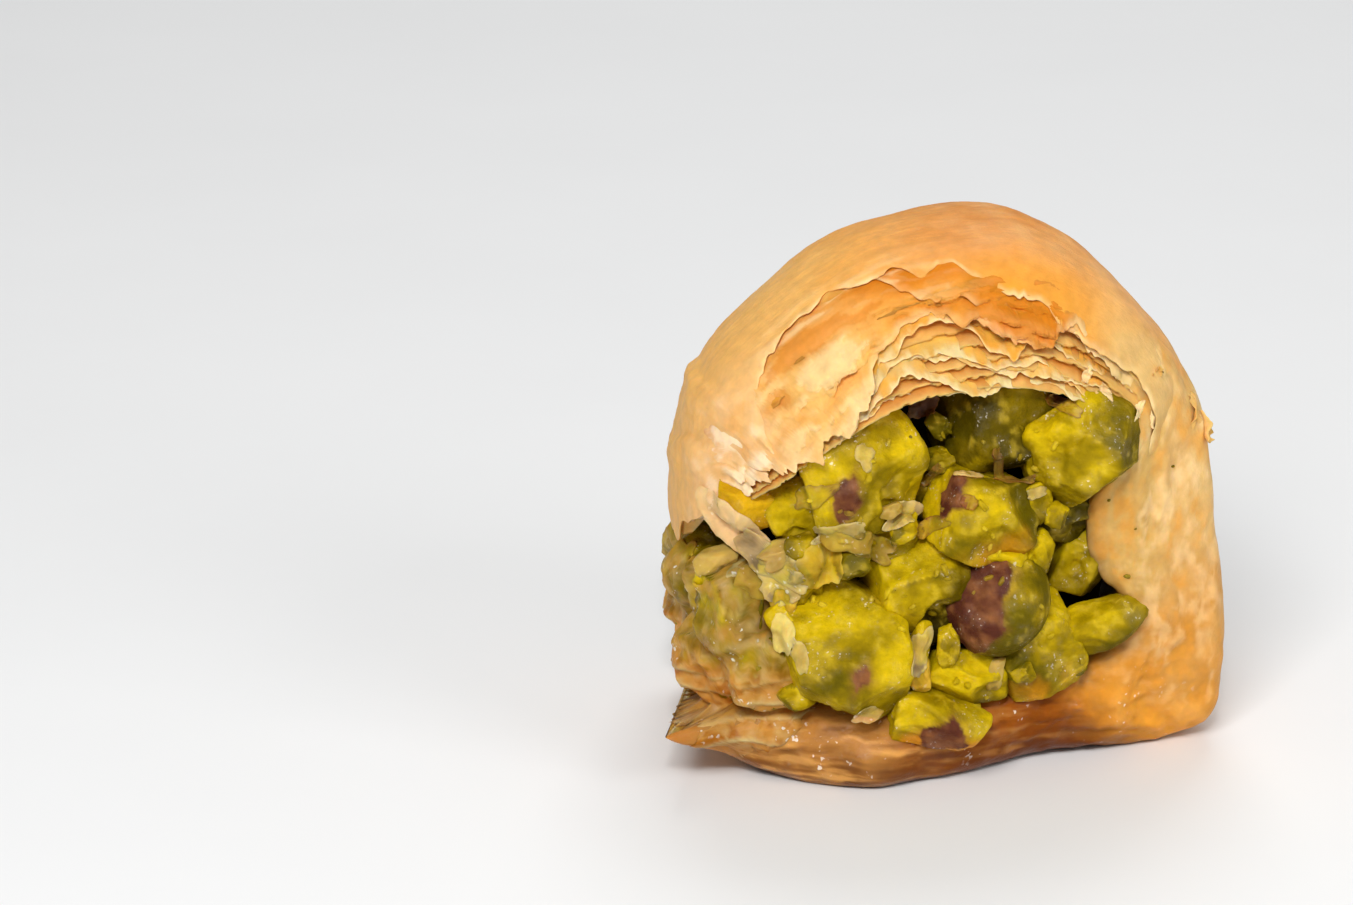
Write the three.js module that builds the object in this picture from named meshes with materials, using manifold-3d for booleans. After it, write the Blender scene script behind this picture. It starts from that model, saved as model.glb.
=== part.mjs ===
// A cut piece of rolled pistachio baklava: a thick wrap of baked filo leaves, open low on its left side, round a
// filling of coarsely broken pistachios. Millimetres, +Z up. The roll's axis runs along Y, and the cut face that
// is looked at faces -Y. The underside is baked flat and the piece stands on it.
import * as THREE from "three";
import { mergeVertices } from "three/addons/utils/BufferGeometryUtils.js";
import Module from "manifold-3d";

const wasm = await Module();
wasm.setup();

// ---------------------------------------------------------------- driving dimensions
const DEPTH = 26; // length of the piece along the roll, at the edges of its cut faces
const FACE_SWELL = 2.6; // how far the middle of a cut face stands out past its sides
const SWELL_HALF_WIDTH = 21;
const SWELL_CENTRE_X = -2;

// The wrap's section, from the flap's lower edge on the left, over the crown, down the right wall and along the
// base to the torn tail. Each station has a point of the outer surface and the inner point across from it, and
// how far back the outermost and the innermost leaf end from the cut plane.
const SECTION = [
  { outer: [-21.3, 16.4], inner: [-19.4, 17.8], setBack: [3.4, 1.6] }, // flap's lower edge
  { outer: [-21.9, 23.4], inner: [-18.9, 23.4], setBack: [4.4, -0.4] },
  { outer: [-20.6, 31.0], inner: [-15.6, 27.4], setBack: [4.8, -1.6] },
  { outer: [-16.4, 36.6], inner: [-11.6, 30.6], setBack: [4.8, -1.6] },
  { outer: [-9.6, 41.8], inner: [-6.8, 33.0], setBack: [4.8, -0.8] },
  { outer: [-2.0, 44.2], inner: [-1.4, 34.2], setBack: [4.6, 0.0] }, // crown
  { outer: [5.6, 44.6], inner: [4.2, 34.0], setBack: [4.4, 0.4] },
  { outer: [11.8, 41.6], inner: [9.6, 32.0], setBack: [4.2, 0.8] },
  { outer: [17.0, 36.6], inner: [13.4, 28.4], setBack: [3.8, 1.2] },
  { outer: [20.8, 29.6], inner: [15.2, 23.6], setBack: [3.6, 1.6] },
  { outer: [22.8, 20.0], inner: [15.4, 17.8], setBack: [3.4, 2.2] }, // right wall
  { outer: [23.8, 9.6], inner: [14.8, 13.0], setBack: [3.4, 2.6] },
  { outer: [22.8, 2.0], inner: [12.8, 9.8], setBack: [3.8, 2.8] },
  { outer: [18.2, 0.0], inner: [9.6, 8.2], setBack: [3.8, 3.0] },
  { outer: [9.0, 0.0], inner: [5.0, 7.2], setBack: [4.8, 3.2] }, // base
  { outer: [0.0, 0.0], inner: [-1.2, 6.6], setBack: [2.0, 2.6] },
  { outer: [-8.0, 0.0], inner: [-8.0, 6.4], setBack: [0.0, 2.4] },
  { outer: [-14.6, 0.0], inner: [-14.4, 6.6], setBack: [2.6, 2.6] },
  { outer: [-19.4, 1.6], inner: [-19.0, 6.4], setBack: [4.0, 3.2] },
  { outer: [-24.2, 4.6], inner: [-24.0, 5.8], setBack: [1.4, 1.8] }, // torn tail
];
const LEAF_BANDS = 5; // bands of leaves that end in steps at a cut face
const LOOPS = 76; // loops along the section
const OUTER_STEPS = 7; // from cut to cut over the outer surface
const INNER_STEPS = 4;
const LIP = 1.1; // how far the soaked wall and base round out between their edges
const LIP_RANGE = [0.38, 0.5]; // shares of the section between which dry leaves give way to the soaked wall
const TEAR_SPAN = 0.12; // share of the section, at each end, that gives way where the leaves are torn
const TEAR_DEPTH = 0.01;
const TEAR_RATE = 0.45; // tears per mm of depth
const FLAP = { rise: 0.05, from: -13, to: 0 }; // how much shorter the flap is at the front face, and over what depth
const TAIL = { trim: 0.036, from: -12, to: -8 }; // how much shorter the tail is behind its front corner
const EDGE_DROOP = 1.0; // how far the outer surface sinks towards a cut face
const BACK_TAPER = 0.11; // how much smaller the section is at the back cut than at its largest
const LARGEST_AT = -4; // depth at which the section is largest
const FLAKE = { at: [21.2, -8.6, 29.2], half: [0.7, 1.2, 2.6], lean: 8 }; // leaf lifted off the right wall
const OUTER_WAVE = { depth: 0.45, around: 17, along: 0.16 }; // hollows of the outer surface, and how many there are
const WAVE_ABOVE = [0.5, 6]; // heights between which the flat underside gives way to those hollows
const RAGGED = { crown: 1.1, soaked: 0.45, around: 26 }; // how unevenly the leaves break off

// The filling: a core that stays inside the wrap, and chunks of pistachio on it.
const CORE_SCALE = 0.97;
const CORE_DEPTH = 20.6;
const CORE_SPAN = [0.03, 0.915]; // shares of the section between which the core follows the wrap's inside
const CORE_CENTRE = [-3.4, 19.4];
const CORE_STEPS = 28; // sides round the core
const FINE_CHUNK = 4.9; // half size from which a chunk has the finer mesh
const CLEARANCE = 0.35; // between the chunks and the wrap
const CLEAVAGES = 8; // broken faces on a chunk
const EDGE_SHARPNESS = 11;
const LOOSE_SCRAP = 40; // mm3, below which a piece cut off by the wrap is dropped

// Chunks that show at the cut face: centre, half sizes along their own axes, turn in the plane of the face, and
// turn about the vertical, in degrees.
const FACE_CHUNKS = [
  { at: [-8.8, -12.2, 27.0], half: [5.0, 4.8, 6.2], roll: 22, yaw: 15 }, // large, under the flap
  { at: [3.2, -8.8, 29.6], half: [5.4, 4.2, 4.2], roll: -6, yaw: 0 }, // in the shade of the crown
  { at: [9.6, -11.4, 27.2], half: [5.6, 4.2, 4.6], roll: 24, yaw: -12 }, // bright, top right
  { at: [1.2, -12.4, 22.6], half: [5.2, 4.4, 4.4], roll: -14, yaw: 8 }, // middle
  { at: [-3.6, -12.0, 17.4], half: [4.0, 4.2, 4.4], roll: 30, yaw: 20 },
  { at: [2.8, -13.0, 15.4], half: [4.5, 4.8, 4.7], roll: 0, yaw: 10 }, // whole end of a kernel
  { at: [-9.8, -13.2, 12.0], half: [6.0, 4.8, 5.6], roll: -8, yaw: -10 }, // large, bottom left
  { at: [-2.4, -14.6, 5.8], half: [4.2, 2.6, 2.6], roll: -8, yaw: 0 }, // on the base
  { at: [0.2, -13.0, 9.2], half: [4.0, 3.0, 2.1], roll: -10, yaw: 0 },
  { at: [6.8, -11.2, 10.9], half: [4.6, 3.6, 4.8], roll: 12, yaw: -10 },
  { at: [12.0, -11.0, 13.0], half: [3.7, 2.6, 2.2], roll: 28, yaw: 0 }, // long, on the right wall
  { at: [11.8, -9.0, 16.8], half: [2.6, 2.8, 3.4], roll: -10, yaw: 0 },
  { at: [9.2, -9.8, 21.6], half: [4.2, 3.2, 2.6], roll: -12, yaw: 0 },
  { at: [6.6, -12.0, 19.2], half: [1.9, 2.0, 2.0], roll: 0, yaw: 0 },
  { at: [-12.6, -11.8, 18.8], half: [3.0, 3.0, 4.0], roll: -30, yaw: 0 },
  { at: [-18.4, -9.8, 15.0], half: [3.4, 3.8, 4.6], roll: 10, yaw: -30 }, // under the film, left
  { at: [-16.6, -12.0, 10.2], half: [3.2, 3.0, 3.4], roll: 0, yaw: 0 },
  { at: [-19.0, -6.6, 9.6], half: [3.2, 3.6, 3.4], roll: 20, yaw: 0 },
  { at: [-7.8, -11.6, 21.2], half: [3.6, 2.8, 2.4], roll: 10, yaw: 0 },
  { at: [-14.6, -10.8, 23.4], half: [3.8, 3.6, 3.4], roll: 20, yaw: 0 },
];
const SIDE_COLUMNS = 4; // chunks down the open left side, in two rows
const SIDE_ROWS = 2;
const SIDE_RANGE = [-5.5, 10.5]; // depths of the first and the last
const SIDE_LOWEST = 9.2;
const SIDE_RISE = 5.6;
const BACK_COLUMNS = 4; // chunks over the other cut face, in a rough grid
const BACK_ROWS = 4;
const BACK_LEFT = -17.5; // left end of the lowest row
const BACK_LEAN = 2.6; // how far each row starts to the right of the one below
const BACK_RIGHT = 11.5;
const BACK_LOWEST = 10.5;
const BACK_RISE = 6.4;
const CRUMB_CHUNKS = 18; // small pieces that fill the gaps of the cut face

const MERGE_WITHIN = 1e-4; // vertices closer than this are one
const GOLDEN_ANGLE = Math.PI * (3 - Math.sqrt(5));

// ---------------------------------------------------------------- repeatable chance
const fraction = (x) => x - Math.floor(x);
const chance = (n) => fraction(Math.sin(n * 12.9898 + 78.233) * 43758.5453);
const between = (low, high, n) => low + (high - low) * chance(n);

function smoothNoise(x, seed) {
  const cell = Math.floor(x);
  const t = x - cell;
  const ease = t * t * (3 - 2 * t);
  const value = (i) => 2 * chance(i * 7.13 + seed * 31.7) - 1;
  return value(cell) * (1 - ease) + value(cell + 1) * ease;
}

function surfaceNoise(x, y, seed) {
  const cell = Math.floor(y);
  const t = y - cell;
  const ease = t * t * (3 - 2 * t);
  return smoothNoise(x, seed + cell * 3.7) * (1 - ease) + smoothNoise(x, seed + (cell + 1) * 3.7) * ease;
}

// ---------------------------------------------------------------- solids
function manifoldOf(geometry) {
  const bare = new THREE.BufferGeometry();
  bare.setAttribute("position", geometry.getAttribute("position"));
  bare.setIndex(geometry.getIndex());
  const merged = mergeVertices(bare, MERGE_WITHIN);
  const mesh = new wasm.Mesh({
    numProp: 3,
    vertProperties: new Float32Array(merged.attributes.position.array),
    triVerts: new Uint32Array(merged.index.array),
  });
  return new wasm.Manifold(mesh);
}

function geometryOf(solid) {
  const mesh = solid.getMesh();
  const positions = new Float32Array(mesh.numVert * 3);
  for (let i = 0; i < mesh.numVert; i++) {
    positions.set(mesh.vertProperties.subarray(i * mesh.numProp, i * mesh.numProp + 3), i * 3);
  }
  return new THREE.BufferGeometry()
    .setAttribute("position", new THREE.BufferAttribute(positions, 3))
    .setIndex(new THREE.BufferAttribute(new Uint32Array(mesh.triVerts), 1));
}

// Closed surface through loops that all have the same number of points, with a flat cap at either end.
function loft(loops, flatLoops) {
  const count = loops[0].length;
  const points = loops.flat();
  const index = [];
  for (let i = 0; i + 1 < loops.length; i++) {
    for (let j = 0; j < count; j++) {
      const a = i * count + j;
      const b = i * count + ((j + 1) % count);
      index.push(a, b, b + count, a, b + count, a + count);
    }
  }
  const last = (loops.length - 1) * count;
  for (const [a, b, c] of THREE.ShapeUtils.triangulateShape(flatLoops[0], [])) index.push(a, c, b);
  for (const [a, b, c] of THREE.ShapeUtils.triangulateShape(flatLoops[1], [])) index.push(last + a, last + b, last + c);
  const positions = new Float32Array(points.flatMap((p) => [p.x, p.y, p.z]));
  return new THREE.BufferGeometry()
    .setAttribute("position", new THREE.BufferAttribute(positions, 3))
    .setIndex(new THREE.BufferAttribute(new Uint32Array(index), 1));
}

// ---------------------------------------------------------------- the wrap
const stationCurve = (pick) =>
  new THREE.CatmullRomCurve3(SECTION.map((station) => new THREE.Vector3(...pick(station))));
const outerCurve = stationCurve((s) => [s.outer[0], 0, s.outer[1]]);
const innerCurve = stationCurve((s) => [s.inner[0], 0, s.inner[1]]);
const setBackCurve = stationCurve((s) => [s.setBack[0], s.setBack[1], 0]);

// 1 over the crown and the flap, where the leaves are dry and ragged, and 0 on the soaked wall and base.
const dryness = (u) => 1 - THREE.MathUtils.smoothstep(u, ...LIP_RANGE);

const swell = (x) => FACE_SWELL * Math.max(0, 1 - ((x - SWELL_CENTRE_X) / SWELL_HALF_WIDTH) ** 2);

// The piece draws in and sinks towards its back cut.
function tapered(point) {
  const back = Math.max(0, (point.y - LARGEST_AT) / (DEPTH / 2 - LARGEST_AT));
  const scale = 1 - BACK_TAPER * back ** 2;
  return new THREE.Vector3(point.x * scale, point.y, point.z * scale);
}

// Where share u of the section lies once its two ends are torn: the flap's end rises towards the front face, and
// the tail is whole only at its front corner.
function tornShare(u, y) {
  const nearFlap = Math.max(0, 1 - u / TEAR_SPAN);
  const nearTail = Math.max(0, 1 - (1 - u) / TEAR_SPAN);
  const rise = FLAP.rise * (1 - THREE.MathUtils.smoothstep(y, FLAP.from, FLAP.to));
  const trim = TAIL.trim * THREE.MathUtils.smoothstep(y, TAIL.from, TAIL.to);
  const tear = (seed) => TEAR_DEPTH * (1 + smoothNoise(y * TEAR_RATE, seed));
  return u + nearFlap * (rise + tear(11)) - nearTail * (trim + tear(12));
}

// The point of the wrap at share u along its section, share d of the way in through its leaves, and depth y.
function wrapPoint(u, d, y) {
  const share = tornShare(u, y);
  const outer = outerCurve.getPoint(share);
  const inner = innerCurve.getPoint(share);
  const thickness = outer.distanceTo(inner);
  const above = THREE.MathUtils.smoothstep(outer.z, ...WAVE_ABOVE);
  const wave = OUTER_WAVE.depth * surfaceNoise(u * OUTER_WAVE.around, y * OUTER_WAVE.along + 5, 3);
  const droop = EDGE_DROOP * Math.abs(y / (DEPTH / 2)) ** 3;
  const sunk = (above * (droop + wave) * (1 - d)) / thickness;
  const point = outer.lerp(inner, d + sunk);
  return tapered(new THREE.Vector3(point.x, y, Math.max(0, point.z)));
}

// Where leaf band `band` ends at a cut face: side -1 is the front, 1 the back.
function leafEnd(u, band, side) {
  const d = (band + 0.5) / LEAF_BANDS;
  const { x: first, y: last } = setBackCurve.getPoint(u);
  const x = wrapPoint(u, d, 0).x;
  const ragged = THREE.MathUtils.lerp(RAGGED.soaked, RAGGED.crown, dryness(u));
  const lip = LIP * (1 - dryness(u)) * Math.sin(Math.PI * d);
  const noise = smoothNoise(u * RAGGED.around, band * 2.3 + (side > 0 ? 40 : 20));
  return side * (DEPTH / 2 + swell(x) - THREE.MathUtils.lerp(first, last, d) + lip + ragged * noise);
}

// The outline of the wrap's thickness at share u: stepped along both cut faces, smooth outside and inside.
function thicknessLoop(u) {
  const loop = [];
  const cutFace = (bands, side, nearEdge, farEdge) => {
    for (const band of bands) {
      const y = leafEnd(u, band, side);
      loop.push([(band + nearEdge) / LEAF_BANDS, y], [(band + farEdge) / LEAF_BANDS, y]);
    }
  };
  const acrossSurface = (d, side, steps) => {
    const band = d === 0 ? 0 : LEAF_BANDS - 1;
    const start = leafEnd(u, band, side);
    const end = leafEnd(u, band, -side);
    for (let i = 1; i < steps; i++) loop.push([d, THREE.MathUtils.lerp(start, end, i / steps)]);
  };
  const inward = [...Array(LEAF_BANDS).keys()];
  cutFace(inward, -1, 0, 1);
  acrossSurface(1, -1, INNER_STEPS);
  cutFace(inward.toReversed(), 1, 1, 0);
  acrossSurface(0, 1, OUTER_STEPS);
  return loop;
}

function makeWrap() {
  const loops = [];
  const flat = [];
  for (let i = 0; i <= LOOPS; i++) {
    const loop = thicknessLoop(i / LOOPS);
    loops.push(loop.map(([d, y]) => wrapPoint(i / LOOPS, d, y)));
    if (i === 0 || i === LOOPS) flat.push(loop.map(([d, y]) => new THREE.Vector2(d, y)));
  }
  return manifoldOf(loft(loops, flat)).add(makeFlake());
}

function makeFlake() {
  const flake = new THREE.ConeGeometry(1, 2, 6, 1);
  flake.rotateX(Math.PI).scale(...FLAKE.half).rotateY(-THREE.MathUtils.degToRad(FLAKE.lean));
  return manifoldOf(flake.translate(...FLAKE.at));
}

// ---------------------------------------------------------------- the filling
// A broken chunk: a unit ball cut by cleavage planes whose edges are a little rounded.
function chunkGeometry(seed, detail) {
  const planes = [];
  for (let i = 0; i < CLEAVAGES; i++) {
    const height = 1 - (2 * (i + 0.5)) / CLEAVAGES + between(-0.16, 0.16, seed * 17 + i);
    const turn = i * GOLDEN_ANGLE + between(-0.5, 0.5, seed * 29 + i);
    const ring = Math.sqrt(Math.max(0, 1 - height * height));
    planes.push({
      normal: new THREE.Vector3(ring * Math.cos(turn), ring * Math.sin(turn), height),
      reach: between(0.8, 1.06, seed * 41 + i),
    });
  }
  const geometry = new THREE.IcosahedronGeometry(1, detail);
  const position = geometry.getAttribute("position");
  const ray = new THREE.Vector3();
  for (let i = 0; i < position.count; i++) {
    ray.fromBufferAttribute(position, i).normalize();
    let crowding = 1;
    for (const { normal, reach } of planes) {
      const facing = ray.dot(normal);
      if (facing > 0) crowding += (facing / reach) ** EDGE_SHARPNESS;
    }
    ray.multiplyScalar(crowding ** (-1 / EDGE_SHARPNESS));
    position.setXYZ(i, ray.x, ray.y, ray.z);
  }
  return geometry;
}

function makeChunk({ at, half, roll = 0, yaw = 0 }, seed, detail) {
  const turn = new THREE.Quaternion().setFromEuler(
    new THREE.Euler(0, -THREE.MathUtils.degToRad(roll), THREE.MathUtils.degToRad(yaw), "ZYX"),
  );
  const place = new THREE.Matrix4().compose(tapered(new THREE.Vector3(...at)), turn, new THREE.Vector3(...half));
  return manifoldOf(chunkGeometry(seed, detail).applyMatrix4(place));
}

// The space inside the wrap at the cut plane, closed on its open left side.
const cavityPoint = (turn, share) => {
  const inner = innerCurve.getPoint(turn);
  return [
    THREE.MathUtils.lerp(CORE_CENTRE[0], inner.x, share),
    THREE.MathUtils.lerp(CORE_CENTRE[1], inner.z, share),
  ];
};

function makeCore() {
  const outline = [];
  for (let i = 0; i <= CORE_STEPS; i++) {
    outline.push(new THREE.Vector2(...cavityPoint(THREE.MathUtils.lerp(...CORE_SPAN, i / CORE_STEPS), CORE_SCALE)));
  }
  const shape = new THREE.Shape(outline);
  const geometry = new THREE.ExtrudeGeometry(shape, { depth: CORE_DEPTH, bevelEnabled: false, steps: 4 });
  geometry.rotateX(Math.PI / 2).translate(0, CORE_DEPTH / 2, 0);
  const position = geometry.getAttribute("position");
  const corner = new THREE.Vector3();
  for (let i = 0; i < position.count; i++) {
    position.setXYZ(i, ...tapered(corner.fromBufferAttribute(position, i)));
  }
  return manifoldOf(geometry);
}

// Chunks down the open left side, which lie under the wrap's flap and above its tail.
function sideChunks() {
  const chunks = [];
  for (let row = 0; row < SIDE_ROWS; row++) {
    for (let column = 0; column < SIDE_COLUMNS; column++) {
      const seed = 500 + row * SIDE_COLUMNS + column;
      const offset = row % 2 ? 0.1 : -0.1;
      const y = THREE.MathUtils.lerp(...SIDE_RANGE, (column + offset) / (SIDE_COLUMNS - 1));
      const z = SIDE_LOWEST + row * SIDE_RISE + between(-0.4, 0.4, seed + 20);
      chunks.push({
        at: [between(-18.4, -17.6, seed), y, z],
        half: [between(3.2, 3.8, seed + 40), between(3.2, 4.0, seed + 60), between(3.5, 4.2, seed + 80)],
        roll: between(-40, 40, seed + 100),
        yaw: between(-40, 40, seed + 120),
      });
    }
  }
  return chunks;
}

function backChunks() {
  const chunks = [];
  for (let row = 0; row < BACK_ROWS; row++) {
    for (let column = 0; column < BACK_COLUMNS; column++) {
      const seed = 400 + row * BACK_COLUMNS + column;
      const across = (column + (row % 2 ? 0.75 : 0.25)) / BACK_COLUMNS;
      const left = BACK_LEFT + BACK_LEAN * row;
      const x = THREE.MathUtils.lerp(left, BACK_RIGHT, across) + between(-1.3, 1.3, seed + 50);
      const z = BACK_LOWEST + row * BACK_RISE + between(-1.2, 1.2, seed);
      chunks.push({
        at: [x, between(10.6, 12.8, seed + 100), z],
        half: [between(3.2, 5.2, seed + 150), between(3.4, 4.4, seed + 200), between(3.2, 4.8, seed + 250)],
        roll: between(-45, 45, seed + 300),
        yaw: between(-30, 30, seed + 350),
      });
    }
  }
  return chunks;
}

function crumbChunks() {
  return [...Array(CRUMB_CHUNKS).keys()].map((i) => {
    const [x, z] = cavityPoint(between(0.08, 0.95, 800 + i), Math.sqrt(between(0.05, 0.7, 830 + i)));
    const size = between(1.3, 2.3, 860 + i);
    const y = between(-11.6, -10.2, 890 + i);
    return { at: [x, y, z], half: [size * 1.3, size, size], roll: between(-80, 80, 920 + i) };
  });
}

function makeFilling(wrap) {
  const pieces = [
    makeCore(),
    ...FACE_CHUNKS.map((chunk, i) => makeChunk(chunk, i + 1, Math.max(...chunk.half) > FINE_CHUNK ? 2 : 1)),
    ...sideChunks().map((chunk, i) => makeChunk(chunk, i + 101, 1)),
    ...backChunks().map((chunk, i) => makeChunk(chunk, i + 201, 1)),
    ...crumbChunks().map((chunk, i) => makeChunk(chunk, i + 301, 0)),
  ];
  let heap = wasm.Manifold.union(pieces);
  for (const axis of [0, 1, 2]) {
    for (const step of [-CLEARANCE, CLEARANCE]) {
      const shift = [0, 0, 0];
      shift[axis] = step;
      heap = heap.subtract(wrap.translate(shift));
    }
  }
  const bodies = heap.decompose().filter((body) => body.volume() > LOOSE_SCRAP);
  return bodies.sort((a, b) => b.volume() - a.volume())[0];
}

// ---------------------------------------------------------------- assembly
const wrapSolid = makeWrap();
const fillingSolid = makeFilling(wrapSolid);

const filo = new THREE.MeshStandardMaterial({ color: 0xe6b46c, roughness: 0.55, metalness: 0 });
const pistachio = new THREE.MeshStandardMaterial({ color: 0x9c9a2c, roughness: 0.4, metalness: 0 });

const baklava = new THREE.Group();
for (const [name, solid, material] of [
  ["filo_wrap", wrapSolid, filo],
  ["pistachio_filling", fillingSolid, pistachio],
]) {
  const mesh = new THREE.Mesh(geometryOf(solid), material);
  mesh.name = name;
  baklava.add(mesh);
}

// The part's origin is under the middle of the piece, on the surface that it stands on.
const box = new THREE.Box3().setFromObject(baklava);
baklava.position.set(-(box.min.x + box.max.x) / 2, -(box.min.y + box.max.y) / 2, -box.min.z);

export default baklava;
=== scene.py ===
"""The looks of a cut piece of rolled pistachio baklava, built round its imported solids.

Shapes are worked out in millimetres, in the frame of the wrap's section, by the same rules as the solids, and
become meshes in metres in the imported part's frame.
"""
import math

import bmesh
import bpy
import numpy as np
from mathutils import Matrix, Vector
from mathutils.bvhtree import BVHTree


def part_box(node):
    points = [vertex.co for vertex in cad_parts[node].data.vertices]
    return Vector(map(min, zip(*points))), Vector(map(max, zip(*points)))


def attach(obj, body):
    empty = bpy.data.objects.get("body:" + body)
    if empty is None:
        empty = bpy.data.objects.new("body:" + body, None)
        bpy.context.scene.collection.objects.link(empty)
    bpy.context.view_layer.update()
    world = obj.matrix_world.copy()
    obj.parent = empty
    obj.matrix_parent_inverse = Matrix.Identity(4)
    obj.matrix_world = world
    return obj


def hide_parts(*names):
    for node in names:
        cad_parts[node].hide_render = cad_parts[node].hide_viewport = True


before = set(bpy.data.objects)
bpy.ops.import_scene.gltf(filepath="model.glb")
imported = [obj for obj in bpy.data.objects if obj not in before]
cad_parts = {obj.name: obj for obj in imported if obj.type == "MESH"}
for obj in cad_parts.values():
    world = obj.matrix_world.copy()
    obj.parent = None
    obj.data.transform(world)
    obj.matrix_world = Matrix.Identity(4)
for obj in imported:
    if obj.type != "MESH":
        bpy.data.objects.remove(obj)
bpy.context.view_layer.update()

MM = 0.001

# ------------------------------------------------------------------ the wrap's section, as in the solids
DEPTH = 26.0
FACE_SWELL = 2.6
SWELL_HALF_WIDTH = 21.0
SWELL_CENTRE_X = -2.0
# Outer point, inner point, and how far back the outermost and the innermost leaf end from the cut plane.
SECTION = np.array([
    [-21.3, 16.4, -19.4, 17.8, 3.4, 1.6],  # flap's lower edge
    [-21.9, 23.4, -18.9, 23.4, 4.4, -0.4],
    [-20.6, 31.0, -15.6, 27.4, 4.8, -1.6],
    [-16.4, 36.6, -11.6, 30.6, 4.8, -1.6],
    [-9.6, 41.8, -6.8, 33.0, 4.8, -0.8],
    [-2.0, 44.2, -1.4, 34.2, 4.6, 0.0],  # crown
    [5.6, 44.6, 4.2, 34.0, 4.4, 0.4],
    [11.8, 41.6, 9.6, 32.0, 4.2, 0.8],
    [17.0, 36.6, 13.4, 28.4, 3.8, 1.2],
    [20.8, 29.6, 15.2, 23.6, 3.6, 1.6],
    [22.8, 20.0, 15.4, 17.8, 3.4, 2.2],  # right wall
    [23.8, 9.6, 14.8, 13.0, 3.4, 2.6],
    [22.8, 2.0, 12.8, 9.8, 3.8, 2.8],
    [18.2, 0.0, 9.6, 8.2, 3.8, 3.0],
    [9.0, 0.0, 5.0, 7.2, 4.8, 3.2],  # base
    [0.0, 0.0, -1.2, 6.6, 2.0, 2.6],
    [-8.0, 0.0, -8.0, 6.4, 0.0, 2.4],
    [-14.6, 0.0, -14.4, 6.6, 2.6, 2.6],
    [-19.4, 1.6, -19.0, 6.4, 4.0, 3.2],
    [-24.2, 4.6, -24.0, 5.8, 1.4, 1.8],  # torn tail
])
LEAF_BANDS = 5
LOOPS = 76
LIP = 1.1
LIP_RANGE = (0.38, 0.5)
LOOSE_RANGE = (0.375, 0.44)
TEAR_SPAN = 0.12
TEAR_DEPTH = 0.01
TEAR_RATE = 0.45
FLAP_RISE = 0.05
FLAP_RANGE = (-13.0, 0.0)
TAIL_TRIM = 0.036
TAIL_RANGE = (-12.0, -8.0)
EDGE_DROOP = 1.0
BACK_TAPER = 0.11
LARGEST_AT = -4.0
WAVE_DEPTH, WAVE_AROUND, WAVE_ALONG = 0.45, 17.0, 0.16
WAVE_ABOVE = (0.5, 6.0)
RAGGED_CROWN, RAGGED_SOAKED, RAGGED_AROUND = 1.1, 0.45, 26.0
# A lobe of the right wall that leans over the filling in front: share of the section, and reach in mm.
LOBE = ((0.44, 0), (0.455, 1.8), (0.475, 4.2), (0.49, 5.0), (0.52, 4.8), (0.547, 3.5), (0.564, 1.6), (0.58, 0))
LOBE_SOFT = 0.006
LOBE_RANGE = (7.5, 11.0)


# ------------------------------------------------------------------ repeatable chance and noise
def chance(n):
    value = np.sin(np.asarray(n, float) * 12.9898 + 78.233) * 43758.5453
    return value - np.floor(value)


def between(low, high, n):
    return low + (high - low) * chance(n)


def smoothstep(x, low, high):
    """0 up to low, and smoothly up to 1 at high. With low above high it runs the other way."""
    t = np.clip((np.asarray(x, float) - low) / (high - low), 0, 1)
    return t * t * (3 - 2 * t)


def fade(x, low, high):
    """1 up to low, and smoothly down to 0 at high."""
    return 1 - smoothstep(x, low, high)


def smooth_noise(x, seed):
    x = np.asarray(x, float)
    cell = np.floor(x)
    t = x - cell
    ease = t * t * (3 - 2 * t)
    first = 2 * chance(cell * 7.13 + np.asarray(seed) * 31.7) - 1
    second = 2 * chance((cell + 1) * 7.13 + np.asarray(seed) * 31.7) - 1
    return first * (1 - ease) + second * ease


def surface_noise(x, y, seed):
    y = np.asarray(y, float)
    cell = np.floor(y)
    t = y - cell
    ease = t * t * (3 - 2 * t)
    return (smooth_noise(x, seed + cell * 3.7) * (1 - ease)
            + smooth_noise(x, seed + (cell + 1) * 3.7) * ease)


def lattice_value(cell, seed):
    """A number from -1 to 1 for each whole-numbered lattice point."""
    x, y, z = (cell[..., i].astype(np.int64) for i in range(3))
    h = (x * 73856093 ^ y * 19349663 ^ z * 83492791 ^ (seed * 2654435761)) & 0xFFFFFFFF
    h = ((h ^ (h >> 15)) * 2246822519) & 0xFFFFFFFF
    h = ((h ^ (h >> 13)) * 3266489917) & 0xFFFFFFFF
    h ^= h >> 16
    return h / 0x7FFFFFFF - 1.0


def noise3(points, seed=0):
    """Smooth value noise at the points, about -1 to 1."""
    cell = np.floor(points)
    t = points - cell
    ease = t * t * t * (t * (t * 6 - 15) + 10)
    total = np.zeros(points.shape[:-1])
    for corner in range(8):
        bits = np.array([corner & 1, corner >> 1 & 1, corner >> 2 & 1])
        weight = np.prod(np.where(bits, ease, 1 - ease), axis=-1)
        total += weight * lattice_value(cell + bits, seed)
    return total


def fbm(points, size, seed=0, octaves=4, fall=0.5):
    """Layered noise whose largest features are about `size` across, about -1 to 1."""
    total = np.zeros(points.shape[:-1])
    weight, scale, full = 1.0, 1.0 / size, 0.0
    for octave in range(octaves):
        total += weight * noise3(points * scale + 17.3 * octave, seed + octave)
        full += weight
        weight *= fall
        scale *= 2.03
    return total / full


def ridged(points, size, seed=0, octaves=3):
    total = np.zeros(points.shape[:-1])
    weight, scale, full = 1.0, 1.0 / size, 0.0
    for octave in range(octaves):
        total += weight * (1 - np.abs(noise3(points * scale + 9.1 * octave, seed + octave)))
        full += weight
        weight *= 0.5
        scale *= 2.1
    return total / full


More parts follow.
